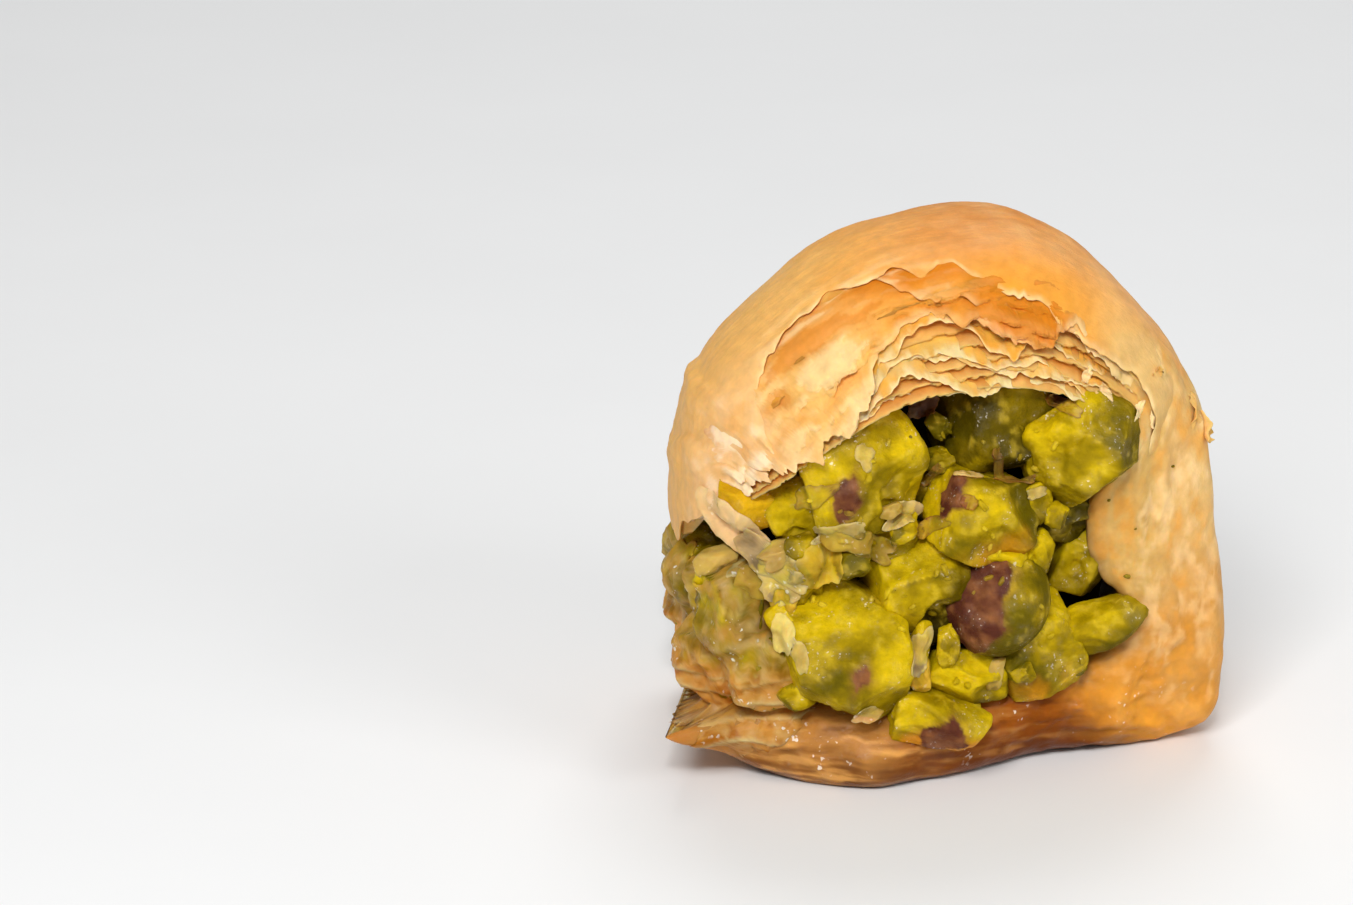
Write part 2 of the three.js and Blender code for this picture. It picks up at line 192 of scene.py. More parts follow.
def stepped(noise, steps):
    """Noise drawn into flat treads with short slopes between them."""
    scaled = noise * steps
    tread = np.floor(scaled)
    return (tread + smoothstep(scaled - tread, 0.3, 0.7)) / steps


def stacked(*parts):
    """The parts as the last axis of one array, stretched to a common shape."""
    return np.stack(np.broadcast_arrays(*[np.asarray(part, float) for part in parts]), -1)


# ------------------------------------------------------------------ the section's functions
def curve(columns, share):
    """The centripetal Catmull-Rom curve through the section's stations at the given shares."""
    stations = SECTION[:, columns]
    padded = np.vstack([2 * stations[0] - stations[1], stations, 2 * stations[-1] - stations[-2]])
    along = np.asarray(share, float) * (len(stations) - 1)
    i = np.clip(np.floor(along).astype(int), 0, len(stations) - 2)
    t = (along - i)[..., None]
    p0, p1, p2, p3 = (padded[i + k] for k in range(4))
    gap = [np.maximum(((b - a) ** 2).sum(-1) ** 0.25, 1e-4)[..., None] for a, b in ((p0, p1), (p1, p2), (p2, p3))]
    start = ((p1 - p0) / gap[0] - (p2 - p0) / (gap[0] + gap[1]) + (p2 - p1) / gap[1]) * gap[1]
    end = ((p2 - p1) / gap[1] - (p3 - p1) / (gap[1] + gap[2]) + (p3 - p2) / gap[2]) * gap[1]
    c2 = 3 * (p2 - p1) - 2 * start - end
    c3 = 2 * (p1 - p2) + start + end
    return p1 + t * (start + t * (c2 + t * c3))


def outer_curve(share):
    return curve([0, 1], share)


def inner_curve(share):
    return curve([2, 3], share)


def set_back(share):
    return curve([4, 5], share)


def dryness(u):
    """1 over the crown and the flap, where the leaves are dry, and 0 on the soaked wall and base."""
    return fade(u, *LIP_RANGE)


def looseness(u):
    """1 where the leaves' ends stand free of one another, and 0 where they have fused."""
    return fade(u, *LOOSE_RANGE)


def swell(x):
    return FACE_SWELL * np.maximum(0, 1 - ((x - SWELL_CENTRE_X) / SWELL_HALF_WIDTH) ** 2)


def taper(points):
    """The piece draws in and sinks towards its back cut."""
    back = np.maximum(0, (points[..., 1] - LARGEST_AT) / (DEPTH / 2 - LARGEST_AT))
    scale = 1 - BACK_TAPER * back ** 2
    return stacked(points[..., 0] * scale, points[..., 1], points[..., 2] * scale)


def torn_share(u, y):
    near_flap = np.maximum(0, 1 - u / TEAR_SPAN)
    near_tail = np.maximum(0, 1 - (1 - u) / TEAR_SPAN)
    rise = FLAP_RISE * fade(y, *FLAP_RANGE)
    trim = TAIL_TRIM * smoothstep(y, *TAIL_RANGE)
    return (u + near_flap * (rise + TEAR_DEPTH * (1 + smooth_noise(y * TEAR_RATE, 11)))
            - near_tail * (trim + TEAR_DEPTH * (1 + smooth_noise(y * TEAR_RATE, 12))))


def table(pairs, x):
    """The value at x of a table of pairs, straight between them."""
    pairs = np.array(pairs, float)
    return np.interp(x, pairs[:, 0], pairs[:, 1])


def lobe(u, y):
    hump = (table(LOBE, u - LOBE_SOFT) + 2 * table(LOBE, u) + table(LOBE, u + LOBE_SOFT)) / 4
    return hump * smoothstep(-y, *LOBE_RANGE)


def thickness_at(u, y=-10.0):
    share = torn_share(u, y)
    return np.linalg.norm(outer_curve(share) - inner_curve(share), axis=-1)


def wrap_point(u, d, y):
    """The wrap's point at share u of its section, share d of the way in through its leaves, and depth y."""
    u, d, y = np.broadcast_arrays(np.asarray(u, float), np.asarray(d, float), np.asarray(y, float))
    share = torn_share(u, y)
    outer, inner = outer_curve(share), inner_curve(share)
    inner = inner - stacked(lobe(u, y), 0 * u)
    thick = np.linalg.norm(outer - inner, axis=-1)
    above = smoothstep(outer[..., 1], *WAVE_ABOVE)
    wave = WAVE_DEPTH * surface_noise(u * WAVE_AROUND, y * WAVE_ALONG + 5, 3)
    droop = EDGE_DROOP * np.abs(y / (DEPTH / 2)) ** 3
    into = (d + above * (droop + wave) * (1 - d) / thick)[..., None]
    across = outer * (1 - into) + inner * into
    point = stacked(across[..., 0], y, np.maximum(0, across[..., 1]))
    return taper(point)


def leaf_end(u, d, side):
    """How far along the roll the leaves reach at depth share d, on the front (-1) or the back (1), without tears."""
    first, last = np.moveaxis(set_back(u), -1, 0)
    x = wrap_point(u, d, 0 * u)[..., 0]
    lip = LIP * (1 - dryness(u)) * np.sin(math.pi * np.clip(d, 0, 1))
    return side * (DEPTH / 2 + swell(x) - (first + (last - first) * d) + lip)


def solid_wrap_low():
    """The lowest corner of the solid wrap's box, from the loops that the solid is made of."""
    u = np.linspace(0, 1, LOOPS + 1)
    low = np.full(3, np.inf)
    for band in range(LEAF_BANDS):
        for side in (-1, 1):
            ragged = RAGGED_SOAKED + (RAGGED_CROWN - RAGGED_SOAKED) * dryness(u)
            noise = smooth_noise(u * RAGGED_AROUND, band * 2.3 + (40 if side > 0 else 20))
            y = leaf_end(u, (band + 0.5) / LEAF_BANDS, side) + side * ragged * noise
            for d in (band / LEAF_BANDS, (band + 1) / LEAF_BANDS):
                low = np.minimum(low, wrap_point(u, d, y).min(0))
    return low


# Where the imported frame's origin lies in the section's frame.
ORIGIN = solid_wrap_low() - np.array(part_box("filo_wrap")[0]) / MM


def to_frame(points):
    return (np.asarray(points) - ORIGIN) * MM


# ------------------------------------------------------------------ mesh helpers
def linear(rgb):
    """Linear colour of an 8-bit sRGB triple."""
    c = np.asarray(rgb, float) / 255
    return np.where(c <= 0.04045, c / 12.92, ((c + 0.055) / 1.055) ** 2.4)


def blend_colors(first, second, share):
    share = np.clip(np.asarray(share), 0, 1)[..., None]
    return first * (1 - share) + second * share


def painted(color, *coats):
    """The colour under further coats, each given as a colour and its share."""
    for coat, share in coats:
        color = blend_colors(color, coat, share)
    return color


class Heap:
    """Collects meshes, in mm in the section's frame, that become one piece."""

    def __init__(self):
        self.points, self.faces, self.colors, self.wet, self.count = [], [], [], [], 0

    def add(self, points, faces, colors, wet):
        points = np.asarray(points).reshape(-1, 3)
        self.points.append(points)
        self.faces.extend([[i + self.count for i in face] for face in faces])
        self.colors.append(np.broadcast_to(colors, points.shape))
        self.wet.append(np.broadcast_to(wet, len(points)))
        self.count += len(points)

    def arrays(self):
        return np.vstack(self.points), self.faces, np.vstack(self.colors), np.concatenate(self.wet)

    def make(self, name, material, slot, replaces=None):
        """The piece, on the part's one body, with each vertex's colour and wetness."""
        points, faces, colors, wet = self.arrays()
        mesh = bpy.data.meshes.new(name)
        mesh.from_pydata(to_frame(points).tolist(), [], faces)
        tint = mesh.color_attributes.new("tint", "FLOAT_COLOR", "POINT")
        tint.data.foreach_set("color", np.column_stack([colors, np.ones(len(points))]).astype(np.float32).ravel())
        damp = mesh.attributes.new("wet", "FLOAT", "POINT")
        damp.data.foreach_set("value", np.asarray(wet, np.float32))
        mesh.shade_smooth()
        mesh.materials.append(material)
        mesh.update()
        piece = bpy.data.objects.new(name, mesh)
        bpy.context.scene.collection.objects.link(piece)
        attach(piece, "root")
        if replaces:
            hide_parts(replaces)


def loft_faces(loops, ring):
    """Quads round a closed loft of `loops` loops with `ring` points each, with a cap at either end."""
    i = np.arange(loops - 1)[:, None] * ring
    j = np.arange(ring)
    k = (j + 1) % ring
    quads = np.stack([i + j, i + k, i + ring + k, i + ring + j], -1).reshape(-1, 4).tolist()
    half = ring // 2
    for base, order in ((0, 1), ((loops - 1) * ring, -1)):
        for a in range(half - 1):
            b = ring - 1 - a
            quads.append([base + a, base + b, base + b - 1, base + a + 1][::order])
    return quads


# ------------------------------------------------------------------ colours of the filo
TOASTED = linear((212, 136, 60))  # the crown's top
TOASTED_PALE = linear((230, 168, 102))
GOLDEN = linear((229, 150, 46))
# In places the filo's own honey colour, and also painted warm shade in grooves and hollows under overhanging leaf.
HONEY = linear((206, 120, 20))
CREAM = linear((234, 176, 96))
FLAP_CREAM = linear((233, 184, 129))
FLAP_WHITE = linear((252, 226, 190))
LEAF_PALE = linear((218, 169, 95))
LEAF_WHITE = linear((250, 216, 160))
# Painted shade in the pockets between the layers of the body's dry cut face.
POCKET_SHADE = linear((196, 126, 50))
WALL = linear((217, 177, 112))
# The lobe's own yellowish cream, made darker than the wall as painted shade, since the lobe lies in shade over the
# filling.
LOBE_TINT = linear((202, 162, 90))
WALL_LOW = linear((199, 132, 42))
AMBER = linear((222, 150, 46))
SOAKED = linear((146, 76, 6))
# The soaked base's darkest brown, its own colour, and also painted shade in the hollows of the soaked cut face.
SOAKED_DARK_AND_SHADE = linear((90, 40, 3))
SOAKED_PALE = linear((166, 92, 12))
SOAKED_TAN = linear((186, 128, 60))
TAIL_AMBER = linear((176, 118, 52))
# Painted warm shade for the depths between pale leaves.
DEPTH_SHADE_GOLD = linear((250, 178, 74))  # the depths between pale leaves


def filo_color(points, u):
    """The filo's colour by place: toasted crown, cream flank, honey wall and dark soaked base."""
    x, y, z = np.moveaxis(points, -1, 0)
    cloud, small = fbm(points, 8.0, seed=41), fbm(points, 2.6, seed=47)
    fine = fbm(points, 0.9, seed=49, octaves=3)
    streaks = fbm(stacked(u * 60, y * 0.28, z * 0), 1.4, seed=45)
    toast = blend_colors(TOASTED, TOASTED_PALE, 0.45 + 1.0 * cloud + 0.5 * small + 0.5 * streaks)
    flap = fade(u, 0.1, 0.2) * fade(y, -11, -4)
    crown = painted(
        CREAM,
        (GOLDEN, smoothstep(u, 0.15, 0.33) + 0.5 * cloud + 0.2 * streaks),
        (toast, smoothstep(u, 0.19, 0.3) * fade(u, 0.4, 0.5) * smoothstep(y, -12.5, -8.5)),
        (FLAP_CREAM, flap * np.clip(0.8 + 0.6 * small, 0, 1)))
    low = smoothstep(26 - z, 0, 20)
    upright = fbm(stacked(x + 1.6 * small, y + 1.6 * small, z * 0.3 + 0.8 * cloud), 1.3, seed=51)
    mottle = 1.3 * upright + 0.9 * small + 0.5 * fine
    # The wall: more orange low down, darker on the lobe, partly as painted shade, and mottled.
    wall = painted(
        WALL,
        (WALL_LOW, low + 0.6 * cloud),
        (LOBE_TINT, 0.8 * smoothstep(lobe(u, y), 0.4, 2.5) * smoothstep(18.5 - x, 0, 3)),
        (AMBER, 0.9 * np.clip(mottle - 0.06, 0, 0.6)),
        (LEAF_WHITE, 0.8 * np.clip(-mottle - 0.08, 0, 0.6) * (1 - 0.4 * low)))
    middle = np.clip(1 - np.abs(x - 4.5) / 11.5, 0, 1)
    strata = fbm(stacked(u * 30, y * 0.4, z * 1.6) + 0.7 * small[..., None], 1.0, seed=53, octaves=3)
    # The base: darker towards the bottom, and streaked with tan, cream and dark strata.
    base = painted(
        SOAKED_PALE,
        (SOAKED_TAN, smoothstep(-x, -1, 8)),
        (SOAKED, 1.2 * middle + 0.4 * cloud + 0.3 * small),
        (SOAKED_DARK_AND_SHADE, smoothstep(4.8 - z, 0, 3.4) * 0.75 + 0.25 * cloud - 0.15 * small),
        (SOAKED_TAN, 1.5 * np.clip(strata, 0, 0.5) * smoothstep(x, 18, -4)),
        (CREAM, 1.3 * np.clip(strata - 0.16, 0, 0.4) * smoothstep(x, 2, -8)),
        (SOAKED_DARK_AND_SHADE, 1.1 * np.clip(-strata, 0, 0.5)))
    return painted(
        crown,
        (wall, smoothstep(u + 0.05 * smoothstep(-y, 8, 11), 0.42, 0.47)),
        (AMBER, smoothstep(u, 0.6, 0.68) * np.clip(0.7 + small, 0, 1)),
        (base, smoothstep(u, 0.67, 0.725)),
        (TAIL_AMBER, smoothstep(u, 0.93, 0.97)))


# ------------------------------------------------------------------ the filo's body
BODY_LOOPS = 430
FACE_STEPS, BACK_STEPS, INNER_STEPS, OUTER_STEPS = 64, 36, 8, 30  # points across each side of a loop
RECESS = 0.8  # how far the body stays behind the free ends of the dry leaves
DRY_LAYERS = 8
CUT_LENGTH = 11.0  # mm from the outermost leaf to the innermost, where the layers are counted
TAIL_TIP = 1.2  # how far the tail's torn front corner reaches out
TAIL_TUCK = 1.7  # and how far the rest of its edge is tucked in behind it
TAIL_TIP_RANGE = (-13.0, -10.8)  # depths between which the one passes into the other
TAIL_BEND = (0.94, 1.0)  # shares of the section over which it bends
SKIN_GAP = 0.3  # depth of the body's outer surface under the skin leaf
EDGE_ROUND = 1.8
END_ROUND = 0.012  # share of the section over which its ends round off
SECTION_LENGTH = 165.0  # mm of outer surface for a share of 1


def rounded_edge(distance, radius):
    """How far a quarter-round edge falls back at the given distance from the edge."""
    x = np.clip(distance / radius, 0, 1)
    return radius * (1 - np.sqrt(np.maximum(0, 1 - (1 - x) ** 2)))


def smooth_folds(points, size, seed):
    """Long rounded folds, about -1 to 0.5."""
    return 0.5 - 6 * fbm(points, size, seed=seed, octaves=2) ** 2


def soaked_relief(u, d, side):
    """Height of the soaked cut face: faint upright folds on the wall, jelly-like lumps on the corner and the base."""
    base = smoothstep(u, 0.6, 0.7)
    place = wrap_point(u, d, side * 10.0) * np.array([1, 0, 1]) + stacked(side * 30.0, 0, 0)
    warped = place + 1.4 * stacked(fbm(place, 6.0, seed=4), 0, fbm(place, 5.0, seed=5))
    on_wall = smooth_folds(warped * np.array([1.2, 1, 0.35]), 2.6, 6)
    on_base = smooth_folds(warped * np.array([0.4, 1, 1.1]), 2.6, 8)
    lumps = fbm(warped, 3.4, seed=7, octaves=2)
    blobs = fbm(warped, 1.3, seed=9, octaves=2)
    corner = smoothstep(u, 0.57, 0.62) * fade(u, 0.72, 0.78)
    calm = 0.35 + 0.65 * smoothstep(place[..., 2], 0.3, 3.5)
    return ((1 - base) * (0.22 * on_wall + 0.3 * lumps + 0.2 * blobs)
            + base * calm * (0.16 * on_base + 0.5 * lumps + 0.15 * blobs) + corner * (0.25 * blobs + 0.2 * lumps))


def layered_relief(u, d, side):
    """Height of the cut where the leaves are dry: shingled layers, each coming forward to a ragged edge."""
    place = stacked(u * SECTION_LENGTH, d * CUT_LENGTH, side * 5.0)
    bent = 0.55 * fbm(place * np.array([0.4, 1, 1]), 3.0, seed=11) + 0.16 * fbm(place, 0.9, seed=12, octaves=2)
    phase = d * DRY_LAYERS + DRY_LAYERS / CUT_LENGTH * 1.6 * bent
    layer = np.floor(phase)
    share = phase - layer
    drop = smoothstep(share, 0.0, 0.16)
    height = between(0.5, 1.3, layer * 3.1 + 7)
    return (0.9 * height * (share * drop - 0.5)
            + 0.18 * fbm(place * np.array([0.5, 1.3, 1]), 1.2, seed=13)), share


def body_face(u, d, side):
    """Depth of the body's cut face: fused and rounded where soaked, and set back behind the dry leaves."""
    dry = looseness(u)
    thick = thickness_at(u)
    edge = (rounded_edge(d * thick, EDGE_ROUND * (1 + 0.8 * dry))
            + rounded_edge((1 - d) * thick, EDGE_ROUND * 0.7) * (1 - dry))
    reach = np.abs(leaf_end(u, d, side)) - edge - RECESS * dry
    return side * (reach + soaked_relief(u, d, side) * (1 - dry) + layered_relief(u, d, side)[0] * dry)


def make_body(material):
    """The wrap without its free leaves. Returns its heap, for what lies on it."""
    u = np.linspace(0, 1, BODY_LOOPS)[:, None]
    d_front, d_back = np.linspace(0, 1, FACE_STEPS)[None, :], np.linspace(0, 1, BACK_STEPS)[None, :]
    front, back = body_face(u, d_front, -1), body_face(u, d_back, 1)
    inner_share = np.linspace(0, 1, INNER_STEPS + 2)[None, 1:-1]
    outer_share = np.linspace(0, 1, OUTER_STEPS + 2)[None, 1:-1]
    y = np.hstack([front, front[:, -1:] + (back[:, -1:] - front[:, -1:]) * inner_share, back[:, ::-1],
                   back[:, :1] + (front[:, :1] - back[:, :1]) * outer_share])
    d = np.hstack([d_front, np.ones_like(inner_share), d_back[:, ::-1], np.zeros_like(outer_share)])
    d = np.broadcast_to(d, y.shape)
    end = np.clip(np.minimum(u, 1 - u) / END_ROUND, 0, 1)
    d = 0.5 + (d - 0.5) * np.sqrt(1 - (1 - end) ** 2 + 1e-4)
    uu = np.broadcast_to(u, y.shape)
    thick = np.maximum(thickness_at(uu, y), 1.0)
    rough = stacked(uu * SECTION_LENGTH, y, 0)
    height = smoothstep(wrap_point(uu, d, y)[..., 2], 0.4, 3.0)
    relief = 0.16 * fbm(rough, 6.0, seed=21) + 0.08 * fbm(rough, 1.6, seed=22)
    d = d + (1 - d) * (SKIN_GAP * dryness(uu) - relief * height) / thick * end
    points = wrap_point(uu, d, y)
    tip = fade(y, *TAIL_TIP_RANGE)
    points = points - stacked(smoothstep(uu, *TAIL_BEND) * (TAIL_TIP * tip - TAIL_TUCK * (1 - tip)), 0, 0)
    share = layered_relief(uu, d, np.sign(y))[1]
    # Where the dry leaves end in layers, each starts dark brown at its root, painted shade where the next layer
    # overhangs it, and turns golden and pale towards its edge.
    leaf = painted(
        POCKET_SHADE,
        (blend_colors(GOLDEN, LEAF_PALE, smoothstep(d, 0.3, 0.6)), smoothstep(share, 0.2, 0.9)),
        (LOBE_TINT, smoothstep(uu, 0.36, 0.41)))
    relief = soaked_relief(uu, d, np.sign(y)) * (1 - dryness(uu)) * smoothstep(np.abs(y), 9, 10.5)
    tail = smoothstep(uu, 0.68, 0.72) * smoothstep(points[..., 0], -10, -4)
    pale = smoothstep(uu, 0.56, 0.62) * (1 - tail)
    # Over the filo's own colours: darker on the innermost leaves near either cut face; on the corner and the base,
    # darker in the hollows of the relief, which is painted shade, and cream on its lumps, partly their own paler
    # colour and partly painted highlight.
    colors = painted(
        filo_color(points, uu),
        (leaf, looseness(uu) * smoothstep(np.abs(y), 7, 9)),
        (SOAKED_DARK_AND_SHADE, 0.7 * smoothstep(d, 0.8, 1.0) * smoothstep(-np.abs(y), -12.5, -10.0)),
        (SOAKED_DARK_AND_SHADE, 0.25 * np.clip(-1.8 * relief, 0, 1) * smoothstep(uu, 0.64, 0.72)),
        (CREAM, 0.7 * np.clip(relief - 0.1, 0, 0.5) * pale))
    wet = (0.3 + 0.7 * smoothstep(uu, 0.58, 0.7)) * (1 - looseness(uu))
    heap = Heap()
    heap.add(points, loft_faces(*y.shape), colors.reshape(-1, 3), wet.ravel())
    heap.make("filo_body", material, "baked_filo", "filo_wrap")
    return heap


# ------------------------------------------------------------------ free leaves of filo
SKIN_END = 0.53  # share of the section at which the outermost leaf has sunk into the soaked wall
# Each leaf's torn edge as (share of the section, share of the way in through the wrap), from the flap to the wall.
SKIN_EDGE = ((0, 0.44), (0.03, 0.5), (0.063, 0.58), (0.1, 0.74), (0.116, 0.78), (0.127, 0.6), (0.134, 0.3),
             (0.141, 0.06), (0.16, -0.1), (0.174, -0.24), (0.19, -0.2), (0.2, -0.28), (0.215, -0.2), (0.23, -0.16),
             (0.245, -0.12), (0.255, -0.04), (0.265, -0.14), (0.274, -0.1), (0.28, 0.04), (0.288, 0.16), (0.298, 0.22),
             (0.317, 0.3), (0.332, 0.34), (0.342, 0.46), (0.373, 0.52), (0.395, 0.5), (0.415, 0.5), (0.442, 0.54),
             (0.5, 0.5), (0.53, 0.5))
TORN_EDGE = ((0.225, -0.2), (0.238, -0.04), (0.249, 0.08), (0.258, 0.16), (0.267, 0.15), (0.276, 0.26), (0.288, 0.38),
             (0.297, 0.4), (0.31, 0.44), (0.325, 0.48), (0.34, 0.5), (0.36, 0.42), (0.37, 0.3))
BROAD_EDGE = ((0, 0.62), (0.03, 0.6), (0.063, 0.68), (0.1, 0.82), (0.123, 0.87), (0.133, 0.88), (0.147, 0.94),
              (0.154, 0.81), (0.166, 0.81), (0.182, 0.86), (0.188, 0.77), (0.196, 0.78), (0.203, 0.68), (0.21, 0.6),
              (0.216, 0.46), (0.224, 0.36), (0.238, 0.32), (0.25, 0.34), (0.263, 0.32), (0.271, 0.38), (0.281, 0.42),
              (0.29, 0.52), (0.299, 0.58), (0.312, 0.62), (0.326, 0.58), (0.338, 0.5), (0.345, 0.52), (0.373, 0.6),
              (0.4, 0.62), (0.43, 0.6))
STACK_EDGES = (
    ((0.19, 0.86), (0.205, 0.7), (0.214, 0.56), (0.224, 0.5), (0.234, 0.44), (0.245, 0.44), (0.255, 0.42),
     (0.268, 0.48), (0.28, 0.6), (0.289, 0.68), (0.304, 0.7), (0.319, 0.64), (0.334, 0.64), (0.354, 0.7),
     (0.372, 0.72), (0.39, 0.7), (0.42, 0.7)),
    ((0.17, 0.92), (0.19, 0.88), (0.205, 0.78), (0.212, 0.68), (0.227, 0.64), (0.238, 0.6), (0.248, 0.6),
     (0.262, 0.62), (0.279, 0.72), (0.296, 0.82), (0.311, 0.78), (0.327, 0.78), (0.344, 0.86), (0.365, 0.88),
     (0.385, 0.8), (0.41, 0.8)),
    ((0.19, 0.9), (0.21, 0.76), (0.222, 0.74), (0.235, 0.68), (0.246, 0.68), (0.256, 0.76), (0.27, 0.76),
     (0.283, 0.84), (0.3, 0.88), (0.32, 0.86), (0.335, 0.84), (0.35, 0.92), (0.37, 0.9), (0.39, 0.78), (0.41, 0.78)),
    ((0.15, 0.97), (0.17, 0.9), (0.19, 0.84), (0.205, 0.86), (0.217, 0.8), (0.231, 0.74), (0.241, 0.82),
     (0.252, 0.92), (0.269, 1.0), (0.281, 1.04), (0.291, 1.04), (0.298, 0.96), (0.312, 0.94), (0.328, 0.95),
     (0.34, 0.94), (0.353, 0.97), (0.371, 0.95), (0.389, 0.8), (0.41, 0.76)),
    ((0.165, 0.94), (0.18, 0.92), (0.2, 0.92), (0.225, 0.9), (0.25, 0.98),
     (0.275, 1.03), (0.3, 1.02), (0.32, 1.0), (0.34, 1.02), (0.36, 1.0), (0.38, 0.92), (0.4, 0.84)),
)
# The leaves that lie over the cut: edge, seed, how far behind the rim they start, and how far they stand off.
DRAPES = ((TORN_EDGE, 21.3, 4.0, 0.3), (BROAD_EDGE, 33.7, 5.0, 0.0))
# Places of a leaf's rows of points, from its root to its free edge.
SHEET_ROWS = np.concatenate([np.linspace(0, 0.28, 7), np.linspace(0.3, 0.95, 33), [0.97, 0.985, 1.0]])
STACK_ROWS = np.array([0, 0.3, 0.52, 0.7, 0.82, 0.91, 0.97, 1.0])
SKIN_LOOPS, SKIN_ROWS = 420, 64
FRONT_RATE, BACK_RATE = 1000, 420  # samples along the section for a share of 1
LEAST_SAMPLES = 24
RIM_ROUND = 1.5  # how tightly the outer leaves bend over the wrap's rim, in mm
LEAST_WALL = 1.5
LEAF_HALF, STACK_HALF = 0.1, 0.08  # half a leaf's thickness in mm
LEAF_CRUMPLE = 0.35
STACK_LENGTH = 3.4  # how far a leaf of the stack comes out of the wrap, in mm
STACK_SUNK = 2.2  # how far it draws back where the leaves have fused
BACK_SHIFT = 0.012  # share of the section by which the edges at the back differ from those in front
BACK_TRIM = 0.3  # how much further in the back's leaves lie, in mm


def torn_edge(u, seed, fine=1.0):
    """How a leaf's free edge breaks off, in mm: waves, short teeth and a few deep bites."""
    waves = smooth_noise(u * 41, seed + 0.4)
    teeth = (smooth_noise(u * 76, seed + 0.7) + 0.6 * smooth_noise(u * 163, seed + 0.9)
             + 0.5 * smooth_noise(u * 330, seed + 1.3))
    bites = np.maximum(0, smooth_noise(u * 54, seed + 0.2) - 0.5) * 1.8
    rags = np.maximum(0, smooth_noise(u * 84, seed + 1.7) - 0.45) * 1.2
    return 0.35 * waves + fine * (0.34 * teeth - bites + rags)


def flaky_streaks(place, seed):
    """Noise for the thin flakes that lie along the wrap's arc, about -1 to 1: long along it and narrow across."""
    bent = place + stacked(0, 0.8 * fbm(place, 4.0, seed=seed + 1), 0)
    return 1.6 * fbm(bent * np.array([0.16, 1, 1]), 1.2, seed=seed, octaves=3)


def over_rim(u, past, side):
    """Share through the wrap and reach along the roll of a leaf that bends over the wrap's rim and lies down on
    the cut, `past` mm beyond the rim, and how far it has turned down."""
    down = RIM_ROUND * np.logaddexp(0, past / RIM_ROUND)
    back = RIM_ROUND * np.logaddexp(0, -past / RIM_ROUND)
    d = down / np.maximum(thickness_at(u), 1.5)
    return d, np.abs(leaf_end(u, np.clip(d, 0, 1.1), side)) - back, 1 / (1 + np.exp(-past / RIM_ROUND))


def add_sheet(heap, u, d, reach, side, half, colors, wet=0.0):
    """A thin closed sheet from its middle surface and its half thickness in shares of the wrap."""
    ring = np.concatenate([wrap_point(u, d - half, side * reach), wrap_point(u, d + half, side * reach)[:, ::-1]], 1)
    both = np.concatenate([colors, colors[:, ::-1]], 1)
    if side > 0:
        ring, both = ring[:, ::-1], both[:, ::-1]
    heap.add(ring, loft_faces(*ring.shape[:2]), both.reshape(-1, 3), wet)


def edge_samples(edge, rate):
    first, last = edge[0][0], edge[-1][0]
    return np.linspace(first, last, max(LEAST_SAMPLES, int((last - first) * rate)))[:, None]


